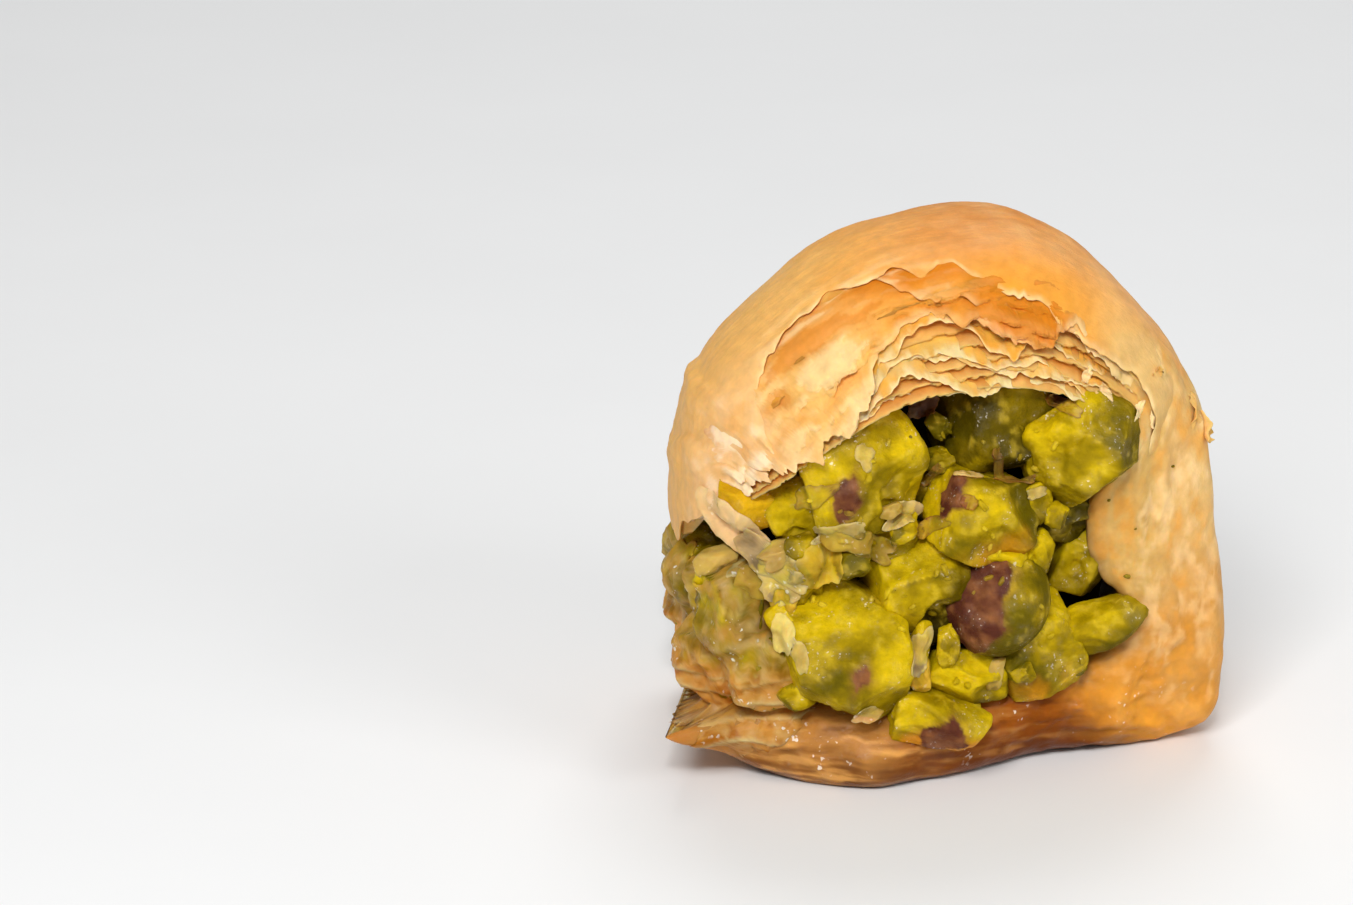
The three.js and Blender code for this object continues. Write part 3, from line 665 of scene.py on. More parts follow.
def draped_leaf(heap, side, edge, seed, root, lift, rate):
    """A leaf that comes out from under the skin and lies down over the cut as far as its torn edge. root is how far
    behind the rim it starts, in mm, and lift how far it stands off the cut."""
    u = edge_samples(edge, rate)
    wall = np.maximum(thickness_at(u), LEAST_WALL)
    flap = fade(u, 0.15, 0.24)
    end = table(edge, u + BACK_SHIFT * (side > 0)) * wall + torn_edge(u, seed) * (1 + 0.1 * flap)
    past = -root + (np.maximum(end, -root + 1) + root) * SHEET_ROWS[None, :]
    d, reach, turned = over_rim(u, past, side)
    place = stacked(u * SECTION_LENGTH, past, seed)
    streaks = stepped(flaky_streaks(place, 37), 4)
    flaky = smoothstep(u, 0.1, 0.16) * fade(u, 0.33, 0.38)
    wave = LEAF_CRUMPLE * (fbm(place, 4.0, seed=31) + 0.6 * fbm(place, 1.3, seed=32, octaves=3))
    wave = wave + 0.9 * flap * (ridged(place * np.array([1, 0.7, 1]), 3.6, seed=36) - 0.62)
    wave = wave + 1.2 * flaky * streaks * smoothstep(past, 0.3, 2.2)
    rim = SHEET_ROWS[None, :] ** 8
    curl = 0.5 * rim * np.maximum(0, smooth_noise(u * 46, seed + 5))
    off = lift + wave * (0.3 + 0.7 * turned) + curl - 0.9 * (1 - looseness(u)) - 0.7 * (1 - turned)
    d = d - off * (1 - turned) / wall - 0.4 * curl / wall
    reach = reach + off * turned
    place = wrap_point(u, d, side * reach)
    cloud, small = fbm(place, 5.0, seed=43), fbm(place, 1.4, seed=44)
    groove_shade = fade(past + 0.7 * small, -0.6, 1.6)
    groove_shade = np.maximum(groove_shade, 0.85 * smoothstep(u, 0.265, 0.285) * fade(u, 0.35, 0.38))
    pale = smoothstep(end - past, 1.0, 0.1) * np.clip(0.55 + 1.2 * fbm(place, 1.8, seed=46), 0, 1)
    # Honey in the groove under the skin's overhang, and in the hollows between the flakes, is painted warm shade; past
    # u 0.2 the flaky band also takes some honey as its own colour.
    color = painted(
        FLAP_CREAM,
        (CREAM, smoothstep(u, 0.08, 0.17) + 0.5 * cloud),
        (GOLDEN, 0.8 * smoothstep(u, 0.18, 0.25) * (1 - 0.3 * smoothstep(past, 4, 8)) + 0.3 * small),
        (WALL, smoothstep(u, 0.33, 0.37)),
        (HONEY, groove_shade * (0.4 + 0.6 * smoothstep(u, 0.2, 0.25)) * fade(u, 0.33, 0.37)),
        (LEAF_WHITE, 0.6 * pale + 0.25 * smoothstep(cloud + 0.5 * small, 0.3, 0.5)),
        (FLAP_WHITE, 0.65 * flap * smoothstep(cloud + small, 0.0, 0.5) * fade(u, 0.1, 0.15)),
        (GOLDEN, 0.5 * flap * smoothstep(-cloud - 0.4 * small, 0.15, 0.5)),
        (LEAF_WHITE, 0.5 * flaky * smoothstep(streaks, 0.1, 0.6) * (1 - 0.8 * smoothstep(u, 0.24, 0.28))),
        (HONEY, flaky * (0.6 * smoothstep(-streaks, 0.1, 0.6) + 0.3 * smoothstep(u, 0.2, 0.26))))
    add_sheet(heap, u, d, reach, side, LEAF_HALF / wall * (1 - 0.55 * rim), color)


def stack_leaf(heap, side, edge, seed, forward, level, rate):
    """One of the pale leaves round the cavity's brim, which droops to its torn edge. level is its place in the
    stack, from 0 for the outermost to 1."""
    u = edge_samples(edge, rate)
    wall = np.maximum(thickness_at(u), LEAST_WALL)
    rows = STACK_ROWS[None, :]
    s = rows * (1 + torn_edge(u, seed) / (STACK_LENGTH + 2))
    tip = (table(edge, u + BACK_SHIFT * (side > 0)) + 0.02 * smooth_noise(u * 30, seed)
           + 0.03 * smooth_noise(u * 13, seed + 8))
    root = tip - (0.17 + 0.04 * smooth_noise(u * 17, seed + 3))
    reach = np.abs(leaf_end(u, np.clip(tip, 0, 1.05), side)) + forward - STACK_LENGTH * (1 - s)
    reach = reach + 0.4 * smooth_noise(u * 14, seed + 9)
    reach = reach - STACK_SUNK * (1 - looseness(u))
    place = stacked(u * SECTION_LENGTH, reach, seed)
    wave = 1.0 * fbm(place * np.array([0.5, 1, 1]), 3.6, seed=33) + 0.2 * fbm(place, 1.1, seed=34, octaves=3)
    d = root + (tip - root) * np.sign(s) * np.abs(s) ** 1.7 + wave * np.clip(s, 0, 1.2) / wall
    rim = rows ** 6
    curl = 0.4 * rim * np.maximum(0, smooth_noise(u * 50, seed + 5))
    d = d - curl / wall
    small = fbm(place, 1.2, seed=35)
    # Golden towards the root, which is painted warm shade in the depth under the leaf above, and near white towards
    # the torn rim.
    color = painted(
        GOLDEN,
        (LEAF_PALE, smoothstep(level, -0.2, 0.5) + 0.5 * small),
        (DEPTH_SHADE_GOLD, 0.9 * fade(rows + 0.2 * small, 0.6, 1.0)),
        (LEAF_WHITE, 0.7 * smoothstep(rows + 0.3 * small, 0.85, 1.05)),
        (LEAF_WHITE, 0.4 * smoothstep(level, 0.5, 1.0) * smoothstep(small, -0.5, 0.3)),
        (LOBE_TINT, smoothstep(u, 0.375, 0.41)))
    add_sheet(heap, u, d, reach, side, STACK_HALF / wall * (1 - 0.5 * rim), color)


def make_leaves(material, stack_material):
    """The cut ends of the leaves at the front and at the back."""
    for side, rate, name in ((-1, FRONT_RATE, "front"), (1, BACK_RATE, "back")):
        draped, stack = Heap(), Heap()
        trim = BACK_TRIM if side > 0 else 0.0
        for edge, seed, root, lift in DRAPES:
            draped_leaf(draped, side, edge, seed + 40 * side, root, lift - trim, rate)
        for i, edge in enumerate(STACK_EDGES):
            stack_leaf(stack, side, edge, 100.7 + 7.7 * i + 400 * side, between(-0.9, 0.2, 31 + i) - trim,
                       i / (len(STACK_EDGES) - 1), rate)
        draped.make("filo_leaves_" + name, material, "baked_filo")
        stack.make("filo_stack_" + name, stack_material, "baked_filo")


def make_skin(material):
    """The outermost leaf: from its rim at the back, over the crown, and down over the right of the front cut."""
    u = np.linspace(0, SKIN_END, SKIN_LOOPS)[:, None]
    wall = np.maximum(thickness_at(u), LEAST_WALL)
    first = set_back(u)[..., 0]
    x = wrap_point(u, 0, 0 * u)[..., 0]
    front_rim = DEPTH / 2 + swell(x) - first  # where the rim lies along the roll
    back_end = front_rim - 0.5 + 0.8 * torn_edge(u, 67.0, 0.7)
    ragged = torn_edge(u, 61.0, 0.8 - 0.3 * fade(u, 0.1, 0.14)) * (1 - 0.6 * smoothstep(u, 0.3, 0.42))
    end = table(SKIN_EDGE, u) * wall + ragged
    even = np.linspace(0, 1, SKIN_ROWS)[None, :]
    share = 0.5 * (0.5 - 0.5 * np.cos(math.pi * even)) + 0.5 * even
    past = -(front_rim + back_end) + (front_rim + back_end + end) * share
    d, reach, turned = over_rim(u, past, -1)
    rough = stacked(u * SECTION_LENGTH, past, 0)
    blister = 0.2 * fbm(rough, 7.0, seed=71) + 0.1 * fbm(rough * np.array([0.45, 1.8, 1]), 1.6, seed=72)
    rim = np.exp(-(end - past) / 0.7) + np.exp(-(past + front_rim + back_end) / 0.7)
    sunk = (0.9 * smoothstep(u, 0.44, 0.5)
            + 0.75 * rim * smoothstep(u, 0.108, 0.118) * fade(u, 0.136, 0.146))
    flap = turned * fade(u, 0.12, 0.2)
    crease = 0.8 * (ridged(rough * np.array([1, 0.75, 1]), 3.6, seed=76) - 0.62) + 0.2 * fbm(rough, 1.0, seed=77)
    streaks = stepped(flaky_streaks(rough, 79), 5)
    flaky = smoothstep(u, 0.13, 0.18) * fade(u, 0.24, 0.27) * smoothstep(past, -5, 0)
    folds = smooth_noise(u * 52 + 1.1 * fbm(rough, 5.0, seed=80), 81) * fade(u, 0.1, 0.16)
    off = (blister - sunk + flap * crease + 0.3 * rim * smooth_noise(u * 38, 73) + 0.35 * turned
           + 0.5 * folds * smoothstep(6 - past, 0, 4) + 0.35 * flaky * streaks)
    d = d - off * (1 - turned) / wall
    reach = reach + off * turned
    points = wrap_point(u, d, -reach)
    uu = np.broadcast_to(u, d.shape)
    face = blend_colors(GOLDEN, WALL, smoothstep(uu, 0.34, 0.4) + 0.4 * fbm(points, 4.0, seed=74))
    spots = fbm(points, 1.7, seed=78) + 0.4 * crease
    worn = np.clip(0.35 + 1.3 * fbm(points, 2.0, seed=75), 0, 1) * smoothstep(uu, 0.13, 0.16)
    # Honey in the hollows between the flakes is painted warm shade. The flap's white and golden patches follow its
    # creases in part, whiter on their ridges and more golden in their hollows: painted light and shade.
    colors = painted(
        filo_color(points, uu),
        (face, 0.85 * turned * smoothstep(uu, 0.24, 0.3)),
        (LEAF_WHITE, 0.5 * flaky * smoothstep(streaks, 0.1, 0.6)),
        (HONEY, 0.4 * flaky * smoothstep(-streaks, 0.15, 0.6)),
        (FLAP_WHITE, 0.75 * flap * smoothstep(spots, 0.0, 0.45) * fade(u, 0.1, 0.15)),
        (GOLDEN, 0.45 * flap * smoothstep(-spots, 0.15, 0.45)),
        (LEAF_WHITE, 0.75 * smoothstep(end - past, 0.6, 0.1) * worn))
    heap = Heap()
    add_sheet(heap, u, d, reach, -1, LEAF_HALF / wall * (1 - 0.5 * np.clip(rim, 0, 1)), colors, 0.3)
    heap.make("filo_skin", material, "baked_filo")


# ------------------------------------------------------------------ the pistachios
SHARPNESS = 80  # how crisp the edges between a chunk's broken faces are
BALL = 1.16  # radius beyond which no corner of a chunk reaches, in its half sizes
TILT = 0.4  # how skew the block's six faces are
CLEAVAGES = 8  # further broken faces
CHIPS = 3  # dents where a splinter came off
LARGE_HALF = 4.3  # half size above which a chunk in front gets the finest mesh
# Quads along each side of the cube that a chunk's mesh starts from.
LARGE_CELLS, FRONT_CELLS, HIDDEN_CELLS, BIT_CELLS, SMALL_CELLS, CRUMB_CELLS, SPECK_CELLS = 32, 22, 18, 14, 12, 5, 4

KERNEL_YELLOW = linear((208, 176, 6))
KERNEL_MUSTARD = linear((152, 126, 1))
KERNEL_GREEN = linear((104, 90, 1))
# The darkest green: the kernels' own dark tone, and also painted shade on their undersides and shaded sides.
KERNEL_DEEP = linear((52, 41, 1))
KERNEL_PALE = linear((212, 182, 56))
KERNEL_AMBER = linear((214, 140, 20))
KERNEL_SKIN = linear((88, 44, 30))
KERNEL_SKIN_PALE = linear((142, 90, 52))
# Near black: the dark specks' own colour, and painted shade for the filling's heart and under films where nothing
# lies.
SPECK_DARK_AND_SHADE = linear((12, 5, 1))

# What a chunk is unless it says otherwise, beside at, its centre, and half, its half sizes along its own axes. roll
# turns it in the plane of the face and yaw about the vertical. skin gives the direction and the size of a patch of
# skin, and shade the direction (x, z) and the depth of a side darkened as painted shade. yellow, amber and stained
# tint it, and dark darkens it, as painted shade for chunks that lie in shade and as a darker tone for others; tone
# takes the place of a kernel's colours, worn softens its breaks, and facets says how much its faces differ in colour.
# A kernel is round and whole, and what is flat has its place as it lies, already tapered.
PLAIN_CHUNK = dict(roll=0, yaw=0, yellow=0.4, facets=0.8, dark=0.0, amber=0.0, stained=0.0, worn=1.0,
                   shade=(0, 0, 0), skin=None, tone=None, kernel=False, flat=False)
# Chunks at the front cut. What is veiled lies under the film.
FACE_CHUNKS = [
    dict(at=(-8.8, -12.2, 27.0), half=(5.0, 4.8, 6.2), roll=22, yaw=15, yellow=0.9, skin=(-0.35, -0.95, -0.15, 1.5)),
    dict(at=(3.0, -9.2, 29.4), half=(5.0, 4.2, 4.6), roll=-6, yaw=0, yellow=0.25, dark=0.5, worn=0.35),
    dict(at=(9.4, -11.8, 27.7), half=(5.1, 4.2, 4.4), roll=14, yaw=-8, yellow=0.5, facets=0.25),
    dict(at=(1.2, -12.4, 22.6), half=(5.2, 4.4, 4.4), roll=-14, yaw=8, yellow=0.7, stained=0.5,
         skin=(-0.62, -0.6, 0.6, 1.8)),
    dict(at=(-3.8, -12.4, 16.8), half=(4.3, 4.2, 4.8), roll=30, yaw=20, yellow=0.8, shade=(0.8, -0.6, 0.7)),
    dict(at=(2.8, -13.0, 15.4), half=(4.5, 4.8, 4.7), roll=0, yaw=10, yellow=0.3, kernel=True,
         skin=(-0.72, -0.72, 0.0, 3.9)),
    dict(at=(-9.8, -13.2, 12.0), half=(6.0, 4.8, 5.6), roll=-8, yaw=-10, yellow=0.95, skin=(0.05, -1.0, -0.2, 1.0)),
    dict(at=(-2.4, -14.6, 5.8), half=(4.2, 2.6, 2.6), roll=-8, yaw=0, yellow=0.5, stained=1.3,
         skin=(-0.1, -0.9, -0.3, 1.9)),
    dict(at=(0.2, -13.0, 9.2), half=(4.0, 3.0, 2.1), roll=-10, yaw=0, yellow=0.8),
    dict(at=(6.2, -11.4, 10.6), half=(4.4, 3.6, 4.8), roll=12, yaw=-10, yellow=0.35, stained=0.7, worn=0.6),
    dict(at=(11.8, -11.6, 12.2), half=(3.9, 2.6, 2.0), roll=26, yaw=0, yellow=0.75, worn=0.4, facets=0.2),
    dict(at=(10.6, -8.4, 16.8), half=(2.6, 2.8, 3.4), roll=-10, yaw=0, yellow=0.5, dark=0.2),
    dict(at=(8.8, -8.6, 21.6), half=(4.2, 3.2, 2.6), roll=-12, yaw=0, yellow=0.2, dark=0.4),
    dict(at=(5.6, -12.4, 19.0), half=(1.9, 2.0, 2.0), roll=0, yaw=0, yellow=0.7),
    dict(at=(-12.6, -11.8, 18.8), half=(3.0, 3.0, 4.0), roll=-30, yaw=0, yellow=0.8),
    dict(at=(-18.6, -9.8, 15.0), half=(3.4, 3.8, 4.6), roll=10, yaw=-30, yellow=0.2, veiled=True),
    dict(at=(-16.2, -11.6, 10.2), half=(3.2, 3.0, 3.4), roll=0, yaw=0, yellow=0.6, veiled=True),
    dict(at=(-19.0, -6.6, 9.6), half=(3.2, 3.6, 3.4), roll=20, yaw=0, yellow=0.4, veiled=True),
    dict(at=(-7.8, -11.6, 21.2), half=(3.6, 2.8, 2.4), roll=10, yaw=0, yellow=0.4, dark=0.2),
    dict(at=(-17.6, -10.4, 24.4), half=(2.9, 3.0, 2.1), roll=-20, yaw=0, yellow=1.0, amber=0.4, worn=0.4),
    dict(at=(-13.4, -10.4, 23.6), half=(3.2, 3.4, 3.0), roll=20, yaw=0, yellow=0.5),
]
SIDE_COLUMNS, SIDE_ROWS = 4, 2
SIDE_RANGE = (-5.5, 10.5)
SIDE_LOWEST, SIDE_RISE = 9.2, 5.6
BACK_COLUMNS, BACK_ROWS = 4, 4
BACK_LEFT, BACK_LEAN, BACK_RIGHT = -17.5, 2.6, 13.8
BACK_LOWEST, BACK_RISE = 10.5, 6.4
CRUMB_CHUNKS = 14
# Small bits between the large chunks: centre, half sizes, turn in the plane of the face, and how yellow.
SMALL_BITS = [
    ((-1.8, -15.2, 12.4), (1.0, 1.1, 1.9), 8, 0.8), ((2.7, -14.2, 19.4), (2.4, 1.5, 1.0), -4, 0.7),
    ((-4.0, -15.0, 12.8), (0.9, 1.0, 2.0), -8, 0.9), ((-5.6, -14.6, 22.6), (1.5, 1.1, 1.0), 30, 0.5),
    ((-2.2, -12.2, 27.4), (1.4, 1.2, 1.1), 10, 0.4), ((-1.9, -11.2, 30.0), (1.0, 1.0, 1.3), 50, 0.2),
    ((6.2, -12.6, 23.6), (1.3, 1.1, 1.9), 20, 0.5), ((7.6, -13.0, 22.4), (1.0, 1.0, 1.2), -20, 0.6),
    ((-9.6, -14.8, 20.2), (1.7, 1.2, 1.3), 20, 0.3), ((-13.6, -14.4, 20.4), (1.6, 1.3, 2.6), 5, 0.75),
    ((-15.2, -14.0, 15.2), (1.2, 1.1, 1.8), 30, 0.95), ((4.6, -14.4, 9.4), (1.2, 1.1, 0.9), 10, 0.5),
    ((9.4, -12.6, 9.4), (1.5, 1.1, 1.1), -30, 0.6), ((-14.0, -14.2, 8.6), (1.6, 1.2, 1.2), 15, 0.4),
]
CRUMBS = 42
CRUMB_RANGE = ((-15.0, 11.0), (6.0, 32.0))  # x and z over which the crumbs lie scattered on the cut
CRUMB_FROM = -14  # depth from which crumbs and specks look for what they lie on
SPECKS = [(14.0, 17.3, 0.3), (14.6, 21.4, 0.14), (17.9, 26.8, 0.14), (12.2, 24.0, 0.16), (16.8, 35.0, 0.12),
          (1.4, 41.4, 0.16), (-13.0, 36.6, 0.14), (-9.6, 34.6, 0.1), (-16.4, 39.0, 0.12), (-5.0, 30.2, 0.12),
          (-8.6, 15.6, 0.1), (-18.0, 11.0, 0.14)]  # x, z and radius of dark specks
CORE_CENTRE = np.array([-3.4, 19.4])
CORE_SCALE = 0.965
CORE_HALF_DEPTH = 9.0
CORE_SPAN = (0.03, 0.915)
CORE_LOOPS, CORE_RING = 90, 96
CORE_ROUND = 3.0  # how far from its ends the core begins to draw in, in mm


def ball(cells):
    """Unit directions and quads of a cube blown up to a sphere, with cells x cells quads on each side."""
    t = np.tan(np.linspace(-1, 1, cells + 1) * math.pi / 4)
    a, b = np.meshgrid(t, t, indexing="ij")
    rays, quads = [], []
    i, j = np.meshgrid(np.arange(cells), np.arange(cells), indexing="ij")
    corner = i * (cells + 1) + j
    for axis in range(3):
        for sign in (-1, 1):
            grid = np.empty(a.shape + (3,))
            grid[..., axis] = sign
            grid[..., (axis + 1) % 3] = a * sign
            grid[..., (axis + 2) % 3] = b
            quads.append(len(quads) * a.size + stacked(corner, corner + cells + 1, corner + cells + 2, corner + 1))
            rays.append(grid.reshape(-1, 3))
    rays = np.vstack(rays)
    rays /= np.linalg.norm(rays, axis=1, keepdims=True)
    _, first, same = np.unique(np.round(rays, 6), axis=0, return_index=True, return_inverse=True)
    quads = same.ravel()[np.vstack([q.reshape(-1, 4) for q in quads]).astype(int)]
    return rays[first], quads.tolist()


def chunk_planes(seed):
    """The broken faces of a chunk: six that make a skewed block, and a few that knock its corners off."""
    planes = []
    for i in range(6):
        normal = np.zeros(3)
        normal[i // 2] = 1 if i % 2 else -1
        tilt = [between(-TILT, TILT, seed * 17 + i * 3 + k) for k in range(3)]
        planes.append((normal + tilt, between(0.78, 0.93, seed * 41 + i)))
    for i in range(CLEAVAGES):
        normal = np.array([between(-1, 1, seed * 53 + i * 3 + k) for k in range(3)])
        planes.append((normal, between(0.84, 1.04, seed * 61 + i)))
    return [(normal / np.linalg.norm(normal), reach) for normal, reach in planes]


def turn_matrix(roll, yaw):
    return np.array(Matrix.Rotation(math.radians(yaw), 3, "Z") @ Matrix.Rotation(-math.radians(roll), 3, "Y"))


def add_chunk(heap, chunk, seed, cells):
    """A broken kernel with its broken faces, chips, grain, patch of skin and colours."""
    chunk = {**PLAIN_CHUNK, **chunk}
    rays, faces = ball(cells)
    bent = rays + 0.075 * stacked(*[fbm(rays + 5.0 * seed, 0.9, seed=seed + 70 + k, octaves=3) for k in range(3)])
    bent /= np.linalg.norm(bent, axis=1, keepdims=True)
    terms = np.stack([np.maximum(0, bent @ normal) / reach for normal, reach in chunk_planes(seed)], -1) ** SHARPNESS
    radius = (terms.sum(-1) + BALL ** -SHARPNESS) ** (-1 / SHARPNESS)
    ordered, face = np.sort(terms, axis=-1), terms.argmax(-1)
    facet = chance(seed * 3.3 + face * 5.1) - 0.5
    edge = smoothstep(ordered[:, -2] / (ordered[:, -1] + 1e-9), 0.1, 1.0)
    if chunk["kernel"]:
        radius = 0.97 + 0 * radius
        edge = 0 * edge
    half = np.array(chunk["half"])
    size = half.mean()
    local = rays * radius[:, None] * half + seed * 3.1
    broken = stepped(fbm(local, 3.6, seed=seed, octaves=2), 3.5)
    lumps = 0.34 * broken + 0.15 * fbm(local, 1.5, seed=seed + 3)
    for i in range(CHIPS):
        toward = np.array([between(-1, 1, seed * 71 + i * 3 + k) for k in range(3)])
        toward[1] -= 0.6
        near = rays @ (toward / np.linalg.norm(toward)) + 0.06 * fbm(local, 1.4, seed=seed + 80)
        lumps = lumps - between(0.4, 0.9, seed * 73 + i) * smoothstep(near, 0.86, 0.93)
    if chunk["kernel"]:
        lumps = 0.25 * fbm(local, 3.0, seed=seed, octaves=2)
    rough = smoothstep(chance(seed * 7.7 + face * 3.7), 0.3, 0.6)
    grain = (0.04 + 0.08 * rough) * fbm(local, 0.7, seed=seed + 9, octaves=2)
    turn = turn_matrix(chunk["roll"], chunk["yaw"])
    world = rays @ turn.T
    patch = halo = np.zeros(len(rays))
    skin = chunk["skin"]
    if skin:
        toward = np.array(skin[:3]) / np.linalg.norm(skin[:3])
        side = np.cross(toward, [0.4, 0, 1])
        side /= np.linalg.norm(side)
        a, b = np.abs(world @ side), np.abs(world @ np.cross(toward, side))
        away = size * np.where(world @ toward > 0, 1.15 * a + 0.75 * b, 9) + 0.35 * skin[3] * fbm(
            local, 0.8 * skin[3], seed=seed + 17, octaves=3)
        patch, halo = smoothstep(skin[3] - away, -0.1, 0.12), smoothstep(skin[3] - away, -1.0, 0.1)
        lumps = lumps + patch * (0.12 + 0.5 * min(1, skin[3] / 3) * (ridged(local, 1.6, seed=seed + 21) - 0.62))
    radius = radius + (lumps * min(1, size / 4) * chunk["worn"] + grain) / size
    centre = np.array(chunk["at"], float)
    if not chunk["flat"]:
        centre = taper(centre)
    points = centre + (rays * radius[:, None] * half) @ turn.T
    cloud = fbm(points, 4.5, seed=seed + 13, octaves=2)
    fine = fbm(points, 1.0, seed=seed + 15, octaves=3)
    # The top of each chunk is made yellower and its underside darker: painted light and shade.
    yellow = chunk["yellow"] + 0.7 * cloud + 0.25 * world[:, 2] + 0.4 * broken + chunk["facets"] * facet + 0.32 * fine
    x, z, depth = chunk["shade"]
    shade = depth * smoothstep(world[:, 0] * x + world[:, 2] * z, -0.1, 0.7)
    stain = smoothstep(0.6 * fbm(local, 3.0, seed=seed + 25) - 0.7 * world[:, 2], 0.1, 0.7)
    mottle = fbm(local, 1.1, seed=seed + 19, octaves=3)
    color = painted(
        KERNEL_GREEN,
        (KERNEL_MUSTARD, 2 * yellow),
        (KERNEL_YELLOW, 2 * yellow - 1),
        (KERNEL_DEEP, chunk["dark"] + 0.35 * smoothstep(-world[:, 2], 0.2, 1.0)
         + 0.15 * np.maximum(0, -fine) + 0.3 * np.maximum(0, -cloud) + shade),
        (KERNEL_PALE, 0.38 * smoothstep(fine, 0.2, 0.6) + 0.35 * edge ** 3),
        (KERNEL_AMBER, chunk["amber"] + chunk["stained"] * stain),
        (KERNEL_SKIN_PALE, 0.3 * halo),
        (blend_colors(KERNEL_SKIN, KERNEL_SKIN_PALE, 0.2 + 1.3 * mottle), patch))
    if chunk["tone"] is not None:
        color = painted(chunk["tone"], (KERNEL_PALE, 0.2 + 0.5 * fine),
                        (KERNEL_MUSTARD, 0.6 * smoothstep(-fine - 0.5 * cloud, 0.0, 0.4)))
    heap.add(points, faces, color, 0.6)


def side_chunks():
    """Chunks down the open left side, under the film."""
    chunks = []
    for row in range(SIDE_ROWS):
        for column in range(SIDE_COLUMNS):
            seed = 500 + row * SIDE_COLUMNS + column
            offset = 0.1 if row % 2 else -0.1
            y = SIDE_RANGE[0] + (SIDE_RANGE[1] - SIDE_RANGE[0]) * (column + offset) / (SIDE_COLUMNS - 1)
            z = SIDE_LOWEST + row * SIDE_RISE + between(-0.4, 0.4, seed + 20)
            chunks.append(dict(
                at=(between(-18.4, -17.6, seed), y, z),
                half=(between(3.2, 3.8, seed + 40), between(3.2, 4.0, seed + 60), between(3.5, 4.2, seed + 80)),
                roll=between(-40, 40, seed + 100), yaw=between(-40, 40, seed + 120),
                yellow=between(0.1, 0.6, seed + 140)))
    return chunks


def back_chunks():
    """Chunks at the back cut, in rows that lean with the flap."""
    chunks = []
    for row in range(BACK_ROWS):
        for column in range(BACK_COLUMNS):
            seed = 400 + row * BACK_COLUMNS + column
            across = (column + (0.75 if row % 2 else 0.25)) / BACK_COLUMNS
            left = BACK_LEFT + BACK_LEAN * row
            x = left + (BACK_RIGHT - left) * across + between(-1.3, 1.3, seed + 50)
            z = BACK_LOWEST + row * BACK_RISE + between(-1.2, 1.2, seed)
            chunks.append(dict(
                at=(x, between(10.4, 12.3, seed + 100), z),
                half=(between(3.2, 5.2, seed + 150), between(3.4, 4.4, seed + 200), between(3.2, 4.8, seed + 250)),
                roll=between(-45, 45, seed + 300), yaw=between(-30, 30, seed + 350),
                yellow=between(0.1, 0.9, seed + 400), dark=0.2 * chance(seed + 420),
                skin=(between(-1, 1, seed + 430), 1.0, between(-1, 1, seed + 440), 1.9)
                if chance(seed + 450) < 0.4 else None))
    return chunks


def cavity_point(turn, share):
    return CORE_CENTRE + (inner_curve(turn) - CORE_CENTRE) * share


def crumb_chunks():
    """Small chunks deep in the gaps at the front."""
    chunks = []
    for i in range(CRUMB_CHUNKS):
        x, z = cavity_point(between(0.08, 0.95, 800 + i), math.sqrt(between(0.05, 0.7, 830 + i)))
        size = between(1.3, 2.3, 860 + i)
        chunks.append(dict(at=(x, between(-9.8, -8.8, 890 + i), z), half=(size * 1.3, size, size),
                           roll=between(-80, 80, 920 + i), yellow=between(0, 1, 940 + i), dark=0.3))
    return chunks


def make_core(material):
    """The heart of the filling, painted near black as shade, which shows only in the gaps between the chunks."""
    turn = np.linspace(*CORE_SPAN, CORE_RING)[None, :]
    v = np.linspace(0, 1, CORE_LOOPS)[:, None]
    y = -CORE_HALF_DEPTH + 2 * CORE_HALF_DEPTH * v
    end = np.minimum(v, 1 - v) * 2 * CORE_HALF_DEPTH
    share = CORE_SCALE * np.sqrt(1 - (1 - np.clip(end / CORE_ROUND, 0, 1)) ** 2 + 1e-4)
    across = cavity_point(np.broadcast_to(turn, (CORE_LOOPS, CORE_RING)), share[..., None])
    points = taper(stacked(across[..., 0], y, across[..., 1]))
    lumps = fbm(points, 3.0, seed=91)
    toward = np.array([CORE_CENTRE[0], 0, CORE_CENTRE[1]]) - points
    toward /= np.linalg.norm(toward, axis=-1, keepdims=True)
    points = points + toward * (0.5 + 0.8 * lumps)[..., None]
    colors = blend_colors(SPECK_DARK_AND_SHADE, KERNEL_DEEP, 0.05 + 0.4 * lumps)
    heap = Heap()
    heap.add(points, loft_faces(CORE_LOOPS, CORE_RING), colors.reshape(-1, 3), 0.8)
    heap.make("filling_core", material, "pistachio", "pistachio_filling")


def scatter_crumbs(heap, ground):
    """Fine crumbs of kernel that stick to the large chunks, and dark specks on the filo."""
    for i in range(CRUMBS):
        x, z = between(*CRUMB_RANGE[0], 1200 + i), between(*CRUMB_RANGE[1], 1300 + i)
        toward = Vector((between(-0.3, 0.3, 1400 + i), -1, 0.6)).normalized()
        size = between(0.16, 0.42, 1500 + i) * between(0.6, 1, 1600 + i)
        for k in range(1 + (chance(1650 + i) > 0.6)):
            place, tone = ground.hit(Vector((x + 0.9 * k, CRUMB_FROM, z - 0.5 * k)), toward)
            if place is not None:
                half = (size * between(1, 1.8, 1800 + i), size, size * 0.8)
                crumb = dict(at=tuple(place), half=half, roll=between(-80, 80, 1900 + i + k), tone=tone, flat=True)
                add_chunk(heap, crumb, i + 900, CRUMB_CELLS)
    for i, (x, z, size) in enumerate(SPECKS):
        place, _ = ground.hit(Vector((x, CRUMB_FROM, z)), Vector((0, -1, 0.5)).normalized())
        if place is not None:
            speck = dict(at=tuple(place), half=(size, size, 0.7 * size), tone=SPECK_DARK_AND_SHADE, flat=True)
            add_chunk(heap, speck, i + 990, SPECK_CELLS)


